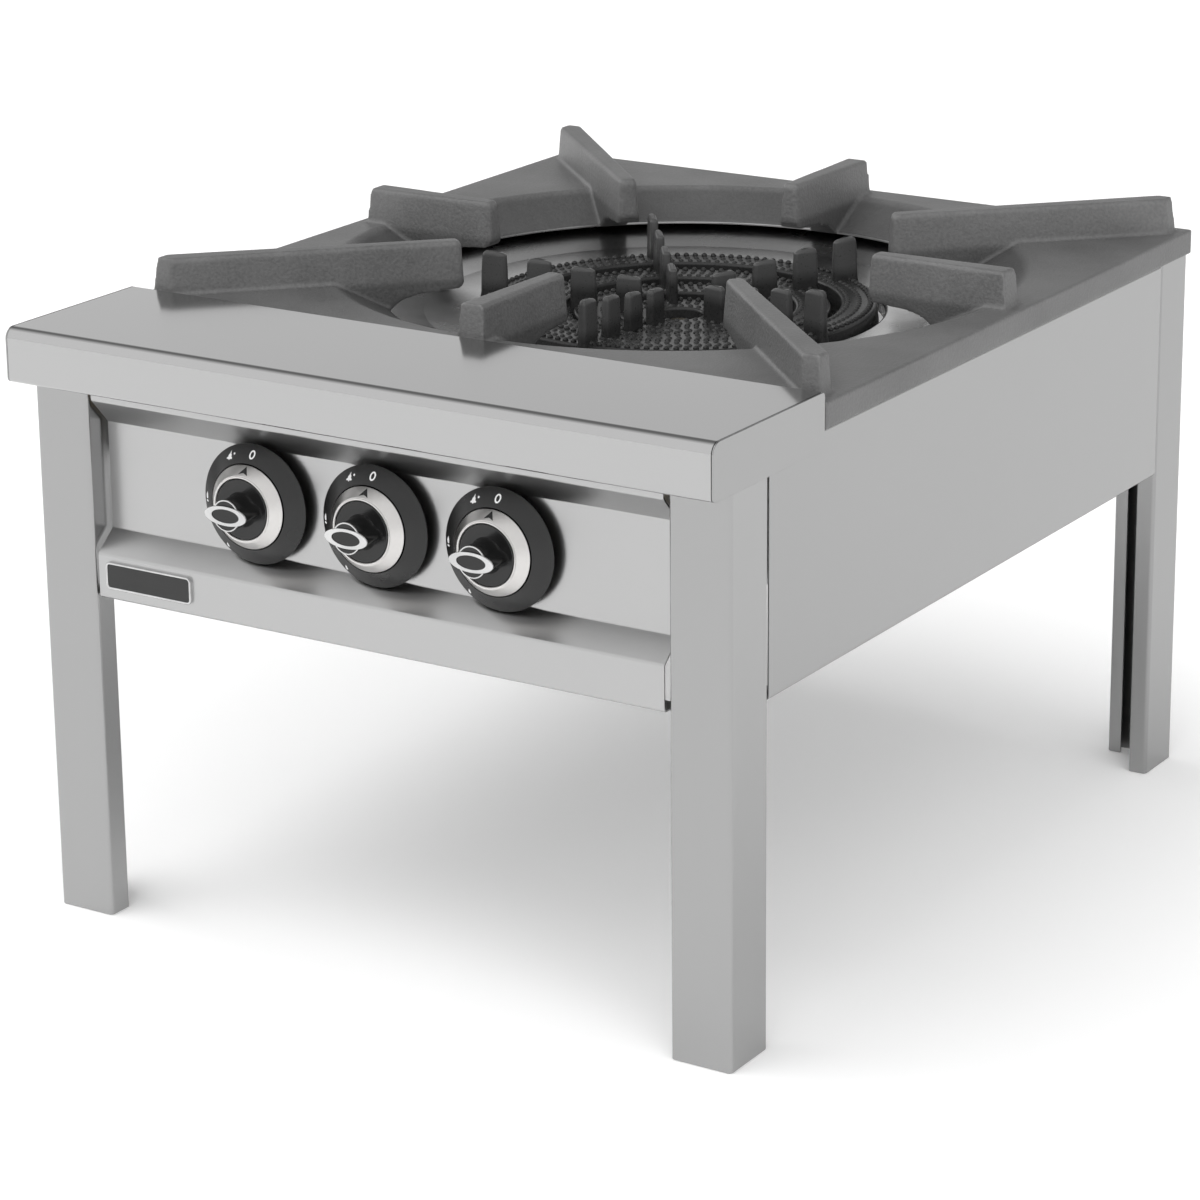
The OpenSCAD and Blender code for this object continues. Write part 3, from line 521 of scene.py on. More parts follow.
def front_tray(materials):
    """The tray: a hem and a long bend over the apron, with flat skirt plates at both ends."""
    front_y = -BACK_Y
    back_y = front_y + TRAY_DEPTH
    low_z = TRAY_TOP - APRON
    half = SHEET / 2
    path = [
        (front_y + APRON_HEM, low_z + half), (front_y + half, low_z + half),
        (front_y + half, TRAY_TOP - half), (back_y - half, TRAY_TOP - half), (back_y - half, SEAT_Z),
    ]
    radii = [HEM_RADIUS, APRON_RADIUS, BEND]
    outline = sheet_outline(path, radii, SHEET, TRAY_STEPS)
    reach = TRAY_WIDTH / 2 - SHEET
    tray = prism("front_tray_sheet", outline, -reach + TRAY_SEAM, reach - TRAY_SEAM, across)
    soften(tray, limit=50)
    dress(tray, "range", "satin_steel", materials["tray"], "front_tray")
    outer = shifted([Vector(p) for p in path], radii, half, TRAY_STEPS)
    plate = outer + [Vector((back_y, low_z))]
    ends = [prism("tray_end", plate, side * reach, side * TRAY_WIDTH / 2, across) for side in (-1, 1)]
    skirts = join("front_tray_ends", ends)
    soften(skirts, SKIRT_BEVEL, 60)
    dress(skirts, "range", "satin_steel", materials["steel_y"])


def folded(name, path, place, low, high, material, cad_node):
    """A folded sheet that stands for a CAD node."""
    radii = [BEND] * (len(path) - 2)
    piece = prism(name, sheet_outline(path, radii, SHEET), low, high, place)
    soften(piece, EDGE, 50, 1)
    dress(piece, "range", "satin_steel", material, cad_node)


def legs(materials):
    half = SHEET / 2
    inner_x = LEG_FACE_X - LEG_WIDTH
    for side, word in ((-1, "left"), (1, "right")):
        front = [
            (LEG_FACE_X - SIDE_RETURN, LEG_FRONT_Y + LEG_DEPTH - half),
            (LEG_FACE_X - half, LEG_FRONT_Y + LEG_DEPTH - half), (LEG_FACE_X - half, LEG_FRONT_Y + half),
            (inner_x + half, LEG_FRONT_Y + half), (inner_x + half, LEG_FRONT_Y + LEG_RETURN),
        ]
        hook_x, hook_y = rear_hook(word)
        rear = [
            (LEG_FACE_X - SIDE_RETURN, BACK_Y - LEG_WIDTH + half),
            (LEG_FACE_X - half, BACK_Y - LEG_WIDTH + half), (LEG_FACE_X - half, BACK_Y - half),
            (hook_x + half, BACK_Y - half), (hook_x + half, hook_y), (hook_x + HOOK_WIDTH, hook_y),
        ]
        for name, path, top, steel in (("front", front, TRAY_TOP - SHEET, "steel_z"),
                                       ("rear", rear, SEAT_Z, "shaded_rear_steel")):
            mirrored = [(side * x, y) for x, y in path]
            folded("leg_%s_%s_sheet" % (name, word), mirrored, upright, 0, top, materials[steel],
                   "leg_%s_%s" % (name, word))


def rear_hook(word):
    """Inner edge of a rear leg, from the CAD node, and the middle of its hooked lip."""
    low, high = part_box("leg_rear_" + word)
    inner = min(abs(low.x), abs(high.x)) / MM
    return inner, BACK_Y - HOOK_WIDTH - SHEET / 2


def control_panel(materials):
    half = SHEET / 2
    front = LEG_FRONT_Y + half
    recess = LEG_FRONT_Y + RECESS + half
    rail_z = SHELL_Z + RAIL
    top_z = TRAY_TOP - SHEET - half
    path = [
        (LEG_FRONT_Y + LEG_RETURN, SHELL_Z + half), (front, SHELL_Z + half), (front, rail_z),
        (recess, rail_z + SLANT), (recess, rail_z + SLANT + FACE_HEIGHT),
        (front, rail_z + SLANT + FACE_HEIGHT + UPPER_SLANT), (front, top_z),
        (front + PANEL_FLANGE, top_z),
    ]
    half_width = LEG_FACE_X - LEG_WIDTH - PANEL_GAP
    folded("control_panel_sheet", path, across, -half_width, half_width, materials["steel_x"],
           "control_panel")


def side_panels(materials):
    half = SHEET / 2
    low_z = SHELL_Z + SIDE_LIFT
    front = LEG_FRONT_Y + LEG_DEPTH + SEAM
    back = BACK_Y - LEG_WIDTH - SEAM
    for side, word in ((-1, "left"), (1, "right")):
        path = [
            (LEG_FACE_X - SIDE_RETURN, low_z + half), (LEG_FACE_X - half, low_z + half),
            (LEG_FACE_X - half, SEAT_Z - half), (LEG_FACE_X - SIDE_FLANGE, SEAT_Z - half),
        ]
        mirrored = [(side * x, z) for x, z in path]
        folded("side_panel_%s_sheet" % word, mirrored, along, front, back, materials["steel_y"],
               "side_panel_" + word)


def badge(materials):
    """A bare black plate in a rounded silver frame."""
    low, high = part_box("badge_plate")
    low, high = low / MM, high / MM
    width = high.x - low.x - 2 * BADGE_CORNER
    height = high.z - low.z - 2 * BADGE_CORNER

    def outline(inset):
        points = []
        for right, up, start in ((1, 1, 0), (0, 1, 90), (0, 0, 180), (1, 0, 270)):
            centre = (low.x + BADGE_CORNER + right * width, low.z + BADGE_CORNER + up * height)
            points += arc(centre, BADGE_CORNER - inset, start, start + 90, 8)
        return points

    plate = prism("badge_base", outline(BADGE_INSET), high.y - BADGE_BASE, high.y, along)
    soften(plate, 0.2)
    dress(plate, "range", "badge", materials["badge"], "badge_plate")
    loop = (
        (0, high.y), (0, low.y + BADGE_BEVEL), (BADGE_BEVEL, low.y), (BADGE_FRAME - BADGE_BEVEL, low.y),
        (BADGE_FRAME, low.y + BADGE_BEVEL), (BADGE_FRAME, high.y - 1),
    )
    rings = [[(x, y, z) for x, z in outline(inset)] for inset, y in loop]
    frame = loft("badge_frame", rings, closed=True)
    soften(frame, limit=60)
    dress(frame, "range", "badge", materials["trim"])


# Cast grate

GRATE_HALF = 300.5
GRATE_STEPS = 240
GRATE_VOXEL = 1.5
GRATE_FACES_KEPT = 0.31
PLATE_Z = 452.5
PLATE = 7.0
RIM = 20.0
FUNNEL_RADIUS = 274.0
FUNNEL_DROP = 13.0
FUNNEL_BACK = 3.0
LIP_RADIUS = 232.0
LIP_TOP_Z = 431.0
LIP_LOW_Z = 428.0
LIP_BEAD_OUT = 0.4
LIP_BEAD_DROP = 1.2
FIN_TOP_Z = 480.5
FIN_LOW_Z = 448.0
FIN_IN_RADIUS = 172.0
FIN_TOP_HALF = 7.0
FIN_CHAMFER = 2.0
FIN_SLOPE = 0.07
FIN_FLARE = 2.8
FIN_MID_END = 291.5
FIN_CORNER_END = 407.0
FIN_SQUARE = 291.5
FIN_DRAFT = 4.0
FIN_END_REACH = 15.0
FIN_END_STEP = 1.5
FIN_END_COUNT = 21
FIN_NOSE = ((0, FIN_LOW_Z, 1, 476.5, 2.5), (1.5, 446, 2.5, 479.5, 0.8), (4, 444, 5, FIN_TOP_Z, 0))
FIN_ARCH = ((184, 443), (196, 442.2), (206, 441.3), (214, 439.5), (221, 437.4), (226, 433.8),
            (231, 429.5), (240, 430), (FUNNEL_RADIUS, 447))


def square_point(angle, half):
    c, s = math.cos(angle), math.sin(angle)
    return half * c / max(abs(c), abs(s)), half * s / max(abs(c), abs(s))


def round_point(angle, radius):
    return radius * math.cos(angle), radius * math.sin(angle)


def grate_body(centre_y):
    """The plate, its rim and the funnel, as one closed loop of squares and circles."""
    loop = [
        (square_point, GRATE_HALF, PLATE_Z), (round_point, FUNNEL_RADIUS, PLATE_Z),
        (round_point, LIP_RADIUS, LIP_TOP_Z), (round_point, LIP_RADIUS, LIP_LOW_Z),
        (round_point, FUNNEL_RADIUS - PLATE, PLATE_Z - FUNNEL_DROP),
        (round_point, FUNNEL_RADIUS + FUNNEL_BACK, PLATE_Z - PLATE),
        (square_point, GRATE_HALF - RIM, PLATE_Z - PLATE), (square_point, GRATE_HALF - RIM, SEAT_Z),
        (square_point, GRATE_HALF, SEAT_Z),
    ]
    rings = []
    for k in range(GRATE_STEPS):
        ring = []
        for form, size, z in loop:
            x, y = form(2 * math.pi * k / GRATE_STEPS, size)
            ring.append((x, centre_y + y, z))
        rings.append(ring)
    return loft("grate_body", rings, closed=True)


def in_square(point):
    """Holds a point of a fin inside the drafted square that all the fins end on."""
    reach = FIN_SQUARE - FIN_DRAFT * max(0, point.z - PLATE_Z) / (FIN_TOP_Z - PLATE_Z)
    return Vector((max(-reach, min(reach, point.x)), max(-reach, min(reach, point.y)), point.z))


def fin_stations(end):
    """Sections along a fin: radius and height of its lower edge, then of its top, and an inset."""
    stations = [(FIN_IN_RADIUS + low_r, low_z, FIN_IN_RADIUS + top_r, top_z, inset)
                for low_r, low_z, top_r, top_z, inset in FIN_NOSE]
    stations += [(r, z, r, FIN_TOP_Z, 0) for r, z in FIN_ARCH]
    for k in range(FIN_END_COUNT):
        r = end - FIN_END_REACH + FIN_END_STEP * k
        stations.append((r, FIN_LOW_Z, r, FIN_TOP_Z, 0))
    return stations


def grate_fin(angle, end, centre_y):
    """One fin, drawn out along its radius: rounded at the inner end, and wider towards the outer one."""
    turn = Matrix.Rotation(angle, 3, "Z")
    rings = []
    for low_r, low_z, top_r, top_z, inset in fin_stations(end):
        flare = FIN_FLARE * (top_r - FIN_IN_RADIUS) / (end - FIN_IN_RADIUS)
        low_half = FIN_TOP_HALF + FIN_SLOPE * (FIN_TOP_Z - low_z) - inset + flare
        top_half = FIN_TOP_HALF - inset + flare
        section = (
            (low_r, -low_half, low_z), (low_r, low_half, low_z), (top_r, top_half, top_z - FIN_CHAMFER),
            (top_r, top_half - FIN_CHAMFER, top_z), (top_r, FIN_CHAMFER - top_half, top_z),
            (top_r, -top_half, top_z - FIN_CHAMFER),
        )
        rings.append([in_square(turn @ Vector(point)) + Vector((0, centre_y, 0)) for point in section])
    return loft("fin", rings)


def bake_modifiers(obj):
    """Applies an object's modifiers to its mesh."""
    graph = bpy.context.evaluated_depsgraph_get()
    mesh = bpy.data.meshes.new_from_object(obj.evaluated_get(graph))
    obj.modifiers.clear()
    obj.data = mesh


def grate(materials):
    """The plate and its fins, melted into one casting, and a bright worn line along its lip that is partly
    a painted highlight.
    """
    low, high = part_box("grate")
    centre_y = (low.y + high.y) / 2 / MM
    parts = [grate_body(centre_y)]
    for k in range(8):
        end = FIN_MID_END if k % 2 == 0 else FIN_CORNER_END
        parts.append(grate_fin(math.pi / 4 * k, end, centre_y))
    body = join("grate_casting", parts)
    remesh = body.modifiers.new("one casting", "REMESH")
    remesh.mode = "VOXEL"
    remesh.voxel_size = GRATE_VOXEL * MM
    relax = body.modifiers.new("worn edges", "SMOOTH")
    relax.factor = 0.5
    relax.iterations = 1
    bake_modifiers(body)
    thin = body.modifiers.new("fewer faces", "DECIMATE")
    thin.ratio = GRATE_FACES_KEPT
    bake_modifiers(body)
    for face in body.data.polygons:
        face.use_smooth = True
    # Painted shade in the funnel.
    paint_funnel_shade(materials["grate"].node_tree, centre_y)
    # Painted highlight, with some wear, on the grate's raised edges.
    wear_and_highlight_edges(materials["grate"].node_tree)
    dress(body, "grate", "grate_iron", materials["grate"], "grate")
    # A bright metal bead under the lip: a painted highlight along the lip's edge, shown as bare worn
    # metal.
    edge = arc((LIP_RADIUS + LIP_BEAD_OUT, LIP_TOP_Z - LIP_BEAD_DROP), 1.0, 0, 330, 11)
    worn = revolve("grate_lip", edge, around(centre_y), 180)
    soften(worn, limit=60)
    dress(worn, "grate", "grate_iron", materials["worn"])


# Drip bowl

BOWL_SHEET = 1.2
BOWL_HOLE = 161.6
BOWL_LOW_Z = 403.0
BOWL_HOLE_Z = 415.0
BOWL_FLOOR = (199.8, 416.5)
BOWL_SLOPE = (259.5, 428.0)
BOWL_RIM = 267.5
BOWL_RIM_LAP = 5.5
BOWL_SEAM = 3.0
BOWL_BENDS = (2.4, 3.6, 3.6, 3.6)
BOWL_STEPS = 180


def drip_bowl(materials):
    """A pressed pan with a turned-down hole, welded into a square rim."""
    low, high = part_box("drip_bowl")
    centre_y = (low.y + high.y) / 2 / MM
    half_w, half_d = high.x / MM, (high.y - low.y) / 2 / MM
    rim_z = SEAT_Z + BOWL_SHEET / 2
    path = [
        (BOWL_HOLE, BOWL_LOW_Z), (BOWL_HOLE, BOWL_HOLE_Z), BOWL_FLOOR, BOWL_SLOPE,
        (BOWL_RIM, rim_z), (BOWL_RIM + BOWL_RIM_LAP, rim_z),
    ]
    outline = sheet_outline(path, BOWL_BENDS, BOWL_SHEET)
    pan = revolve("pan", outline, around(centre_y), BOWL_STEPS)
    heights = (SEAT_Z, SEAT_Z + BOWL_SHEET)
    rings = []
    for k in range(BOWL_STEPS):
        angle = 2 * math.pi * k / BOWL_STEPS
        x, y = square_point(angle, 1)
        ring = [(x * half_w, centre_y + y * half_d, z) for z in heights]
        x, y = round_point(angle, BOWL_RIM + BOWL_SEAM)
        ring += [(x, centre_y + y, z) for z in heights[::-1]]
        rings.append(ring)
    body = join("drip_bowl_sheet", [pan, loft("rim", rings, closed=True)])
    soften(body)
    dress(body, "drip_bowl", "bright_steel", materials["bright"], "drip_bowl")


# Burner

ARMS = 5
RING_RADII = (155.0, 119.0, 83.0, 47.0)
RING_WIDTH = 28.0
RING_TOPS = (421.0, 417.5, 414.0, 410.5)
RING_BASE = 395.0
RING_ROUND = 2.5
RING_FLARE = 3.0
RING_FOOT = (2.4, 4.0)
RING_SHOULDER = 3.0
BEAD_ROWS = (5.0, 14.0, 23.0)
BEAD_RISES = (0.2, -0.8, -0.8)
BEAD_PITCH = 7.4
BEAD_RADIUS = 2.4
POST_TURN = math.radians(-14.4)
POST_TOPS = (455.5, 450.3, 445.1, 439.9)
POST_SINK = 6.0
POST_WIDTH = 21.5
POST_OUT = 3.5
POST_HALF = 4.0
POST_LEAN = 0.8
POST_TILT = 1.6
POST_SIDES = 16
POST_STATIONS = ((0, 1.12, 1.25), (0.2, 1.0, 1.0), (0.6, 0.97, 0.95), (0.9, 0.9, 0.88), (0.97, 0.82, 0.7),
                 (1.0, 0.66, 0.4))
WEB_REACH = (36.0, 66.0)
WEB_BASE_HALF = 8.0
WEB_TOP_HALF = 6.5
WEB_HEIGHT = 11.0


def burner_ring(k, centre_y):
    """One ring: a flared outer wall, a flat top and rounded edges."""
    outer = RING_RADII[k]
    inner = outer - RING_WIDTH
    top = RING_TOPS[k]
    profile = [
        (inner, RING_BASE), (outer + RING_FLARE, RING_BASE),
        (outer + RING_FOOT[0], RING_BASE + RING_FOOT[1]), (outer, top - RING_SHOULDER),
    ]
    profile += arc((outer - RING_ROUND, top - RING_ROUND), RING_ROUND, 10, 90, 4)
    profile += arc((inner + RING_ROUND, top - RING_ROUND), RING_ROUND, 90, 180, 4)
    return revolve("ring", profile, around(centre_y), 144)


def post(k, arm, centre_y):
    """One upright post: a rounded plate that stands along its arm's radius and thins to the top."""
    base = RING_TOPS[k] - POST_SINK
    rise = POST_TOPS[k] - base
    middle = RING_RADII[k] + POST_OUT - POST_WIDTH / 2
    turn = Matrix.Rotation(POST_TURN + arm * 2 * math.pi / ARMS, 3, "Z")
    draw = random.Random(10 * k + arm)
    lean = draw.uniform(-POST_LEAN, POST_LEAN)
    rings = []
    for share, width, thickness in POST_STATIONS:
        z = base + rise * share
        w = POST_WIDTH / 2 * width
        h = POST_HALF * thickness
        ring = []
        for step in range(POST_SIDES):
            a = 2 * math.pi * step / POST_SIDES
            c, s = math.cos(a), math.sin(a)
            x = w * math.copysign(abs(c) ** 0.35, c)
            y = h * math.copysign(abs(s) ** 0.6, s)
            tilt = POST_TILT * (x / w) if share > 0.9 else 0
            spot = Vector((middle + x + lean * share, y, z + min(0, tilt)))
            ring.append(turn @ spot + Vector((0, centre_y, 0)))
        rings.append(ring)
    return loft("post", rings)


def beads(k, centre_y):
    """Rows of small flame ports around one ring, as raised beads."""
    work = bmesh.new()
    top = RING_TOPS[k]
    for row, rise in zip(BEAD_ROWS, BEAD_RISES):
        radius = RING_RADII[k] - row
        count = round(2 * math.pi * radius / BEAD_PITCH)
        for i in range(count):
            a = 2 * math.pi * (i + 0.5 * (row > BEAD_ROWS[0])) / count
            place = Vector((radius * math.cos(a), centre_y + radius * math.sin(a), top + rise)) * MM
            bmesh.ops.create_icosphere(work, subdivisions=2, radius=BEAD_RADIUS * MM,
                                       matrix=Matrix.Translation(place))
    return finished("beads", bpy.data.meshes.new("beads"), work)


def hub_arms(centre_y):
    """The webs that hold the hub inside the third ring."""
    top = RING_BASE + WEB_HEIGHT
    corners = [
        (-WEB_BASE_HALF, RING_BASE), (WEB_BASE_HALF, RING_BASE), (WEB_TOP_HALF, top), (-WEB_TOP_HALF, top),
    ]
    parts = []
    for i in range(ARMS):
        turn = Matrix.Rotation(POST_TURN + (i + 0.5) * 2 * math.pi / ARMS, 3, "Z")
        rings = []
        for r in WEB_REACH:
            rings.append([turn @ Vector((r, y, z)) + Vector((0, centre_y, 0)) for y, z in corners])
        parts.append(loft("web", rings))
    return parts


def burners(materials):
    """The three castings: the innermost holds the third ring and the hub."""
    low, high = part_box("grate")
    centre_y = (low.y + high.y) / 2 / MM
    # Painted light on the posts.
    paint_post_light(materials["burner"].node_tree)
    for word, numbers in zip(RINGS, ((0,), (1,), (2, 3))):
        parts = []
        for k in numbers:
            parts += [burner_ring(k, centre_y), beads(k, centre_y)]
            parts += [post(k, arm, centre_y) for arm in range(ARMS)]
        if len(numbers) > 1:
            parts += hub_arms(centre_y)
        body = join("burner_%s_casting" % word, parts)
        soften(body, limit=50)
        dress(body, "range", "burner_iron", materials["burner"], "burner_" + word)


# Knobs. Depths run from the floor of the panel's recess towards the front.

KNOB_FLOOR_Y = -330.0
KNOB_Z = 346.5
DIAL_BORE = 13.0
DIAL_BACK = 0.1
DIAL_FOOT = 37.5
DIAL_UNDERCUT = 7.0
DIAL_RADIUS = 44.5
DIAL_ROUND = 0.5
DIAL_POCKET = 32.0
DIAL_POCKET_DEPTH = 11.6
DIAL_TOP = 16.3
DIAL_TOP_RADIUS = 32.8
DIAL_SLOPE = 0.70
SKIRT_BORE = 12.0
SKIRT_RADIUS = 31.3
SKIRT_BACK = 16.0
SKIRT_EDGE = 17.0
SKIRT_TOP = 23.7
SKIRT_TOP_RADIUS = 25.0
SKIRT_BEAD_RADIUS = 23.9
SKIRT_ROUND = 0.5
POCKET_RADIUS = 22.8
POCKET_DEPTH = 5.9
KNOB_FRONT = 24.5
POINTER = ((0, 30.7), (-3.9, 25.7), (0, 26.9), (3.9, 25.7))
POINTER_TURN = -2.6
POINTER_LIFTS = (-0.1, 0.15)
PRINT = 0.08
MARK_RADIUS = 38.4
MARK_CLOCK = 4
SPARK = ((0.2, 3.3), (0.8, 1.2), (1.5, 0.9), (1.7, -0.4), (3.0, -1.1), (2.6, -1.9), (1.0, -2.0),
         (0.3, -3.0), (-0.6, -2.4), (-2.6, -2.6), (-2.7, -1.9), (-1.5, -1.1), (-1.5, 0.2), (-0.7, 1.0))
GRIP_SIDES = 48
TIP = 42.5
GRIP_BORE = 5.1
GRIP_FRONT = KNOB_FRONT - 0.2
DISC_RADIUS = 22.5
DISC_DEPTH = 5.6
DISC_DISH = 16.5
CORE_RADIUS = 11.5
LINE_RADII = (10.8, 11.7)
WING_STATIONS = (
    (GRIP_FRONT - 1, 38, 18), (GRIP_FRONT + 0.6, 36.4, 15.8), (GRIP_FRONT + 2.5, 35.6, 14.6),
    (GRIP_FRONT + 8, 35.2, 14), (TIP - 4, 35.8, 14), (TIP - 0.7, 36.4, 14.2), (TIP, 35.8, 13.6),
)
TRIM_STATIONS = (
    (TIP - 0.4, 36.6, 14.6), (TIP + 0.6, 36.6, 14.6), (TIP + 0.9, 35.8, 13.9), (TIP + 0.9, 25.0, 10.8),
    (TIP + 0.6, 24.2, 10.0), (TIP - 0.4, 24.2, 10.0),
)


def knob_place(x):
    """Turns (a, b, depth) into a point, with a and b counted from the knob's axis."""
    return lambda a, b, depth: (x + a, KNOB_FLOOR_Y - depth, KNOB_Z + b)


def dial(x, word, materials):
    """A black cone with a turned-in foot and a pocket for the skirt, and white marks on its face."""
    place = knob_place(x)
    profile = [
        (DIAL_BORE, DIAL_BACK), (DIAL_FOOT, DIAL_BACK), (DIAL_FOOT, DIAL_UNDERCUT),
        (DIAL_RADIUS + 0.2, DIAL_UNDERCUT),
    ]
    profile += arc((DIAL_RADIUS, DIAL_UNDERCUT + DIAL_ROUND), DIAL_ROUND, -60, 55, 4)
    profile += [
        (DIAL_TOP_RADIUS, DIAL_TOP), (DIAL_POCKET + 0.4, DIAL_TOP + 0.1), (DIAL_POCKET, DIAL_TOP - 0.3),
        (DIAL_POCKET, DIAL_POCKET_DEPTH), (DIAL_BORE, DIAL_POCKET_DEPTH),
    ]
    ring = revolve("dial_%s_moulding" % word, profile, place)
    soften(ring)
    dress(ring, "range", "dial_black", materials["dial"], "knob_dial_" + word)
    marks = dial_marks("dial_%s_marks" % word, place)
    dress(marks, "range", "dial_black", materials["mark"])


def printed(name, outline, inner, place):
    """A print on the dial's cone, thin but solid, with an optional inner outline left bare."""
    def ring(points, up):
        flat = []
        for a, b in points:
            depth = DIAL_TOP - (math.hypot(a, b) - DIAL_TOP_RADIUS) * DIAL_SLOPE
            flat.append(place(a, b, depth + up))
        return flat
    if inner:
        rings = [ring(outline, -PRINT), ring(outline, PRINT), ring(inner, PRINT), ring(inner, -PRINT)]
        return loft(name, rings, closed=True)
    return loft(name, [ring(outline, -PRINT), ring(outline, PRINT)])


def on_dial(points, radius, clock):
    """Moves points drawn around zero to a place on the dial, with clock in degrees from the top."""
    a = math.radians(90 - clock)
    return [(radius * math.cos(a) + u, radius * math.sin(a) + v) for u, v in points]


def oval(width, height, steps=24):
    points = []
    for k in range(steps):
        a = 2 * math.pi * k / steps
        points.append((width / 2 * math.cos(a), height / 2 * math.sin(a)))
    return points


def flame(width, height):
    """Outline of a plain flame: round below, with a bent tip."""
    points = []
    for k in range(20):
        a = 2 * math.pi * k / 20 - math.pi / 2
        pinch = 0.5 - 0.5 * math.sin(a)
        across_tip = width / 2 * math.cos(a) * (0.25 + 0.75 * pinch)
        points.append((across_tip + 0.12 * width * max(0, math.sin(a)), height / 2 * math.sin(a)))
    return points


def dial_marks(name, place):
    """A plain nought for off, a spark, a high flame at the left and a low one below it."""
    marks = (
        ("spark", SPARK, 39.0, -27), ("spark_dot", oval(1.6, 1.5), 39.2, -20.5),
        ("high", flame(4.0, 5.4), 40.8, -88), ("high_foot", oval(3.6, 1.4), 40.8, -94),
        ("low", flame(3.6, 4.2), 41.2, -144.5),
    )
    outer, inner = (on_dial(oval(*size), MARK_RADIUS, MARK_CLOCK) for size in ((4.8, 5.8), (2.6, 3.8)))
    parts = [printed("off", outer, inner, place)]
    for word, outline, radius, clock in marks:
        parts.append(printed(word, on_dial(outline, radius, clock), None, place))
    return join(name, parts)


def skirt_profile():
    """A cone whose back slides in the dial's pocket, with a bright bead around the grip's disc."""
    profile = [
        (SKIRT_BORE, SKIRT_BACK), (SKIRT_RADIUS - 0.3, SKIRT_BACK), (SKIRT_RADIUS, SKIRT_BACK + 0.3),
        (SKIRT_RADIUS, SKIRT_EDGE), (SKIRT_TOP_RADIUS, SKIRT_TOP),
        (SKIRT_TOP_RADIUS - 0.5, SKIRT_TOP + 0.1),
    ]
    profile += arc((SKIRT_BEAD_RADIUS, KNOB_FRONT - SKIRT_ROUND), SKIRT_ROUND, 0, 90, 4)
    profile += [
        (POCKET_RADIUS + SKIRT_ROUND, KNOB_FRONT), (POCKET_RADIUS, KNOB_FRONT - SKIRT_ROUND),
        (POCKET_RADIUS, KNOB_FRONT - POCKET_DEPTH), (SKIRT_BORE, KNOB_FRONT - POCKET_DEPTH),
    ]
    return profile


def pointer(name, place):
    """The black arrow printed on the skirt's cone, folded along its middle to follow the cone."""
    slope = (SKIRT_TOP - SKIRT_EDGE) / (SKIRT_RADIUS - SKIRT_TOP_RADIUS)
    turn = Matrix.Rotation(math.radians(POINTER_TURN), 2)
    verts = []
    for lift in POINTER_LIFTS:
        for corner in POINTER:
            point = turn @ Vector(corner)
            depth = SKIRT_EDGE + (SKIRT_RADIUS - point.length) * slope
            verts.append(place(point.x, point.y, depth + lift))
    faces = [(0, 1, 2), (0, 2, 3), (4, 6, 5), (4, 7, 6)]
    faces += [(i, (i + 1) % 4, 4 + (i + 1) % 4, 4 + i) for i in range(4)]
    return mesh_object(name, verts, faces)


def oval_rings(stations, place):
    """Oval sections along the knob's axis, one for each (depth, width, height)."""
    rings = []
    for depth, width, height in stations:
        rings.append([place(a, b, depth) for a, b in oval(width, height, GRIP_SIDES)])
    return rings


def grip(place):
    """The grip: a disc, a flat wing that widens to the front, and a waisted round core."""
    disc = [
        (GRIP_BORE, GRIP_FRONT - DISC_DEPTH), (DISC_RADIUS, GRIP_FRONT - DISC_DEPTH),
        (DISC_RADIUS, GRIP_FRONT - 1),
    ]
    disc += arc((DISC_RADIUS - 1, GRIP_FRONT - 1), 1.0, 0, 90, 4)
    disc += [(DISC_DISH, GRIP_FRONT - 0.3), (GRIP_BORE, GRIP_FRONT - 0.3)]
    core = [
        (GRIP_BORE, GRIP_FRONT - 1), (CORE_RADIUS + 2.1, GRIP_FRONT - 1),
        (CORE_RADIUS + 1, GRIP_FRONT + 0.8), (CORE_RADIUS + 0.4, GRIP_FRONT + 3),
        (CORE_RADIUS, GRIP_FRONT + 8), (CORE_RADIUS, TIP - 1.4), (CORE_RADIUS - 0.6, TIP - 0.7),
        (GRIP_BORE, TIP - 0.7),
    ]
    return [
        revolve("disc", disc, place, 96), loft("wing", oval_rings(WING_STATIONS, place)),
        revolve("core", core, place, 64),
    ]


def trim(place):
    """The bright oval on the grip's end, with a thin round line behind it."""
    inner, outer = LINE_RADII
    line = [(inner, TIP - 1.2), (outer, TIP - 1.2), (outer, TIP - 0.3), (inner, TIP - 0.3)]
    return [
        loft("oval", oval_rings(TRIM_STATIONS, place), closed=True),
        revolve("line", line, place, 64),
    ]


def knobs(materials):
    for word in SIDES:
        low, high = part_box("knob_skirt_" + word)
        x = (low.x + high.x) / 2 / MM
        place = knob_place(x)
        body = "knob_" + word
        dial(x, word, materials)
        ring = revolve("skirt_%s_turned" % word, skirt_profile(), place)
        soften(ring, limit=30)
        dress(ring, body, "knob_silver", materials["silver"], "knob_skirt_" + word)
        dress(pointer("pointer_" + word, place), body, "knob_silver", materials["dial"])
        handle = join("grip_%s_moulding" % word, grip(place))
        soften(handle, limit=35)
        dress(handle, body, "grip_black", materials["grip"], "knob_grip_" + word)
        bright = join("trim_%s_ring" % word, trim(place))
        soften(bright, limit=50)
        dress(bright, body, "knob_trim", materials["trim"], "knob_cap_" + word)


# Pieces kept from the CAD part

KEPT = {
    "rear_panel": "steel_x", "front_bulkhead": "steel_x", "burner_bar": "steel_y",
    "mixing_tube": "tube_iron", "injector": "brass", "air_shutter": "zinc", "gas_valve": "brass",
    "valve_plunger": "brass", "valve_stem": "zinc", "gas_tube": "aluminium", "gas_manifold": "zinc",
    "inlet_coupling": "zinc", "pilot_burner": "stained", "burner_bolts": "zinc", "valve_nuts": "zinc",
}


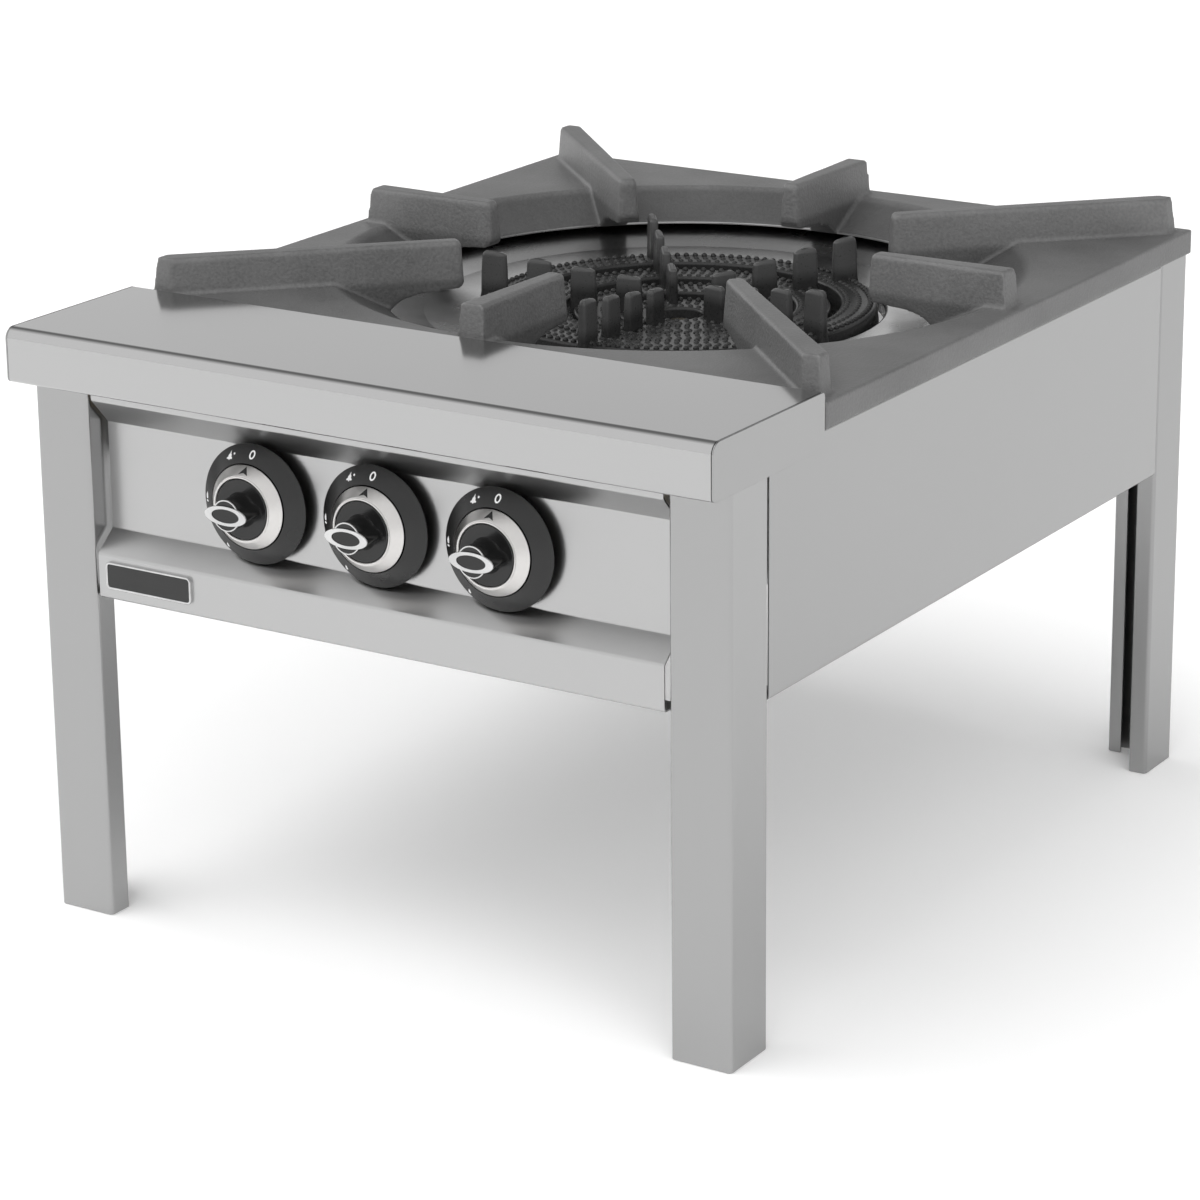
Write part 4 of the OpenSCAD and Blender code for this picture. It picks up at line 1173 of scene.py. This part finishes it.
def finish_kept(frame, materials):
    for name, obj in frame["nodes"].items():
        for start, key in KEPT.items():
            if name.startswith(start):
                for spot in obj.material_slots:
                    spot.material = materials[key]


# Stage, lights and camera

IMAGE_SIZE = 1200
SENSOR = 36.0
FOCAL_PIXELS = 3967.64
CENTRE_PIXEL = (640.0, 500.0)
CAMERA_PLACE = (1571.77, -2503.88, 1178.53)
CAMERA_AZIMUTH = 31.96
CAMERA_DROP = 16.96
CAMERA_ROLL = -0.42
CAMERA_REACH = 30
FLOOR_HALF = 12.0
FLOOR_DROP = 0.5
SKY_STOPS = ((0.0, 0.90), (0.22, 0.72), (0.40, 0.60), (0.56, 0.20), (0.85, 0.25), (1.0, 0.42))
SKY_FRONT = (0.35, -0.15)
SKY_SIDES = (1.15, 0.90)


def camera():
    data = bpy.data.cameras.new("camera")
    data.sensor_width = SENSOR
    data.lens = FOCAL_PIXELS / IMAGE_SIZE * SENSOR
    data.shift_x = (IMAGE_SIZE / 2 - CENTRE_PIXEL[0]) / IMAGE_SIZE
    data.shift_y = (CENTRE_PIXEL[1] - IMAGE_SIZE / 2) / IMAGE_SIZE
    data.clip_end = CAMERA_REACH
    azimuth, drop, roll = (math.radians(v) for v in (CAMERA_AZIMUTH, CAMERA_DROP, CAMERA_ROLL))
    back = Vector((math.sin(azimuth) * math.cos(drop), -math.cos(azimuth) * math.cos(drop),
                   math.sin(drop)))
    level = Vector((math.cos(azimuth), math.sin(azimuth), 0))
    top = back.cross(level)
    right = level * math.cos(roll) + top * math.sin(roll)
    up = top * math.cos(roll) - level * math.sin(roll)
    turn = Matrix((right, up, back)).transposed().to_4x4()
    obj = bpy.data.objects.new("camera", data)
    obj.matrix_world = Matrix.Translation(Vector(CAMERA_PLACE) * MM) @ turn
    bpy.context.collection.objects.link(obj)
    bpy.context.scene.camera = obj


def light(kind, name, power, direction):
    """A light that shines along a direction."""
    data = bpy.data.lights.new(name, kind)
    data.energy = power
    obj = bpy.data.objects.new(name, data)
    obj.rotation_euler = Vector(direction).to_track_quat("-Z", "Y").to_euler()
    bpy.context.collection.objects.link(obj)
    return obj


def area_light(name, place, target, size, power):
    obj = light("AREA", name, power, Vector(target) - Vector(place))
    obj.location = place
    obj.data.shape = "RECTANGLE"
    obj.data.size, obj.data.size_y = size


def soft_sun(name, direction, power, angle):
    """Soft light from one direction, left out of reflections."""
    obj = light("SUN", name, power, direction)
    obj.data.angle = math.radians(angle)
    obj.visible_glossy = False


def sky():
    """A studio with light all around the horizon and overhead in front, and a dark upper back."""
    world = bpy.data.worlds.new("studio")
    world.use_nodes = True
    tree = world.node_tree
    place = node(tree, "ShaderNodeTexCoord")
    split = node(tree, "ShaderNodeSeparateXYZ")
    ramp = node(tree, "ShaderNodeValToRGB")
    stops = ramp.color_ramp.elements
    for stop, (position, tone) in zip((stops[0], stops[1]), (SKY_STOPS[0], SKY_STOPS[-1])):
        stop.position = position
        stop.color = grey(tone)
    for position, tone in SKY_STOPS[1:-1]:
        stops.new(position).color = grey(tone)
    mixed = node(tree, "ShaderNodeMixRGB", in_Color2=grey(1.0))
    backdrop = tree.nodes["Background"]
    tree.links.new(place.outputs["Generated"], split.inputs["Vector"])
    tree.links.new(split.outputs["Z"], ramp.inputs["Fac"])
    tree.links.new(spread(tree, split.outputs["Y"], 0, 1, *SKY_FRONT), mixed.inputs["Fac"])
    tree.links.new(ramp.outputs["Color"], mixed.inputs["Color1"])
    tree.links.new(mixed.outputs["Color"], backdrop.inputs["Color"])
    tree.links.new(spread(tree, split.outputs["X"], *SKY_SIDES, -1, 1), backdrop.inputs["Strength"])
    bpy.context.scene.world = world


def stage():
    """A white floor, the sky, two soft suns and one light from the left."""
    reach = FLOOR_HALF / MM
    corners = [(x * reach, y * reach, -FLOOR_DROP) for x, y in ((-1, -1), (1, -1), (1, 1), (-1, 1))]
    floor = mesh_object("floor", corners, [(0, 1, 2, 3)])
    white = base_material("white floor", grey(0.93), 0.9, 0.0, Specular_IOR_Level=0.1,
                          Emission_Color=grey(1), Emission_Strength=0.10)
    floor.data.materials.append(white)
    sky()
    soft_sun("overhead", (0.30, 0.28, -1), 0.85, 50)
    soft_sun("front fill", (-0.60, 0.65, -0.42), 1.3, 60)
    area_light("side", (-3.2, 0.2, 1.7), (0, 0, 0.4), (0.6, 1.6), 10)
    view = bpy.context.scene.view_settings
    view.view_transform = "Standard"
    view.look = "None"
    view.exposure = 0.0
    view.gamma = 1.0


def main():
    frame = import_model()
    materials = make_materials()
    camera()
    stage()
    front_tray(materials)
    legs(materials)
    control_panel(materials)
    side_panels(materials)
    badge(materials)
    grate(materials)
    drip_bowl(materials)
    burners(materials)
    knobs(materials)
    finish_kept(frame, materials)


main()
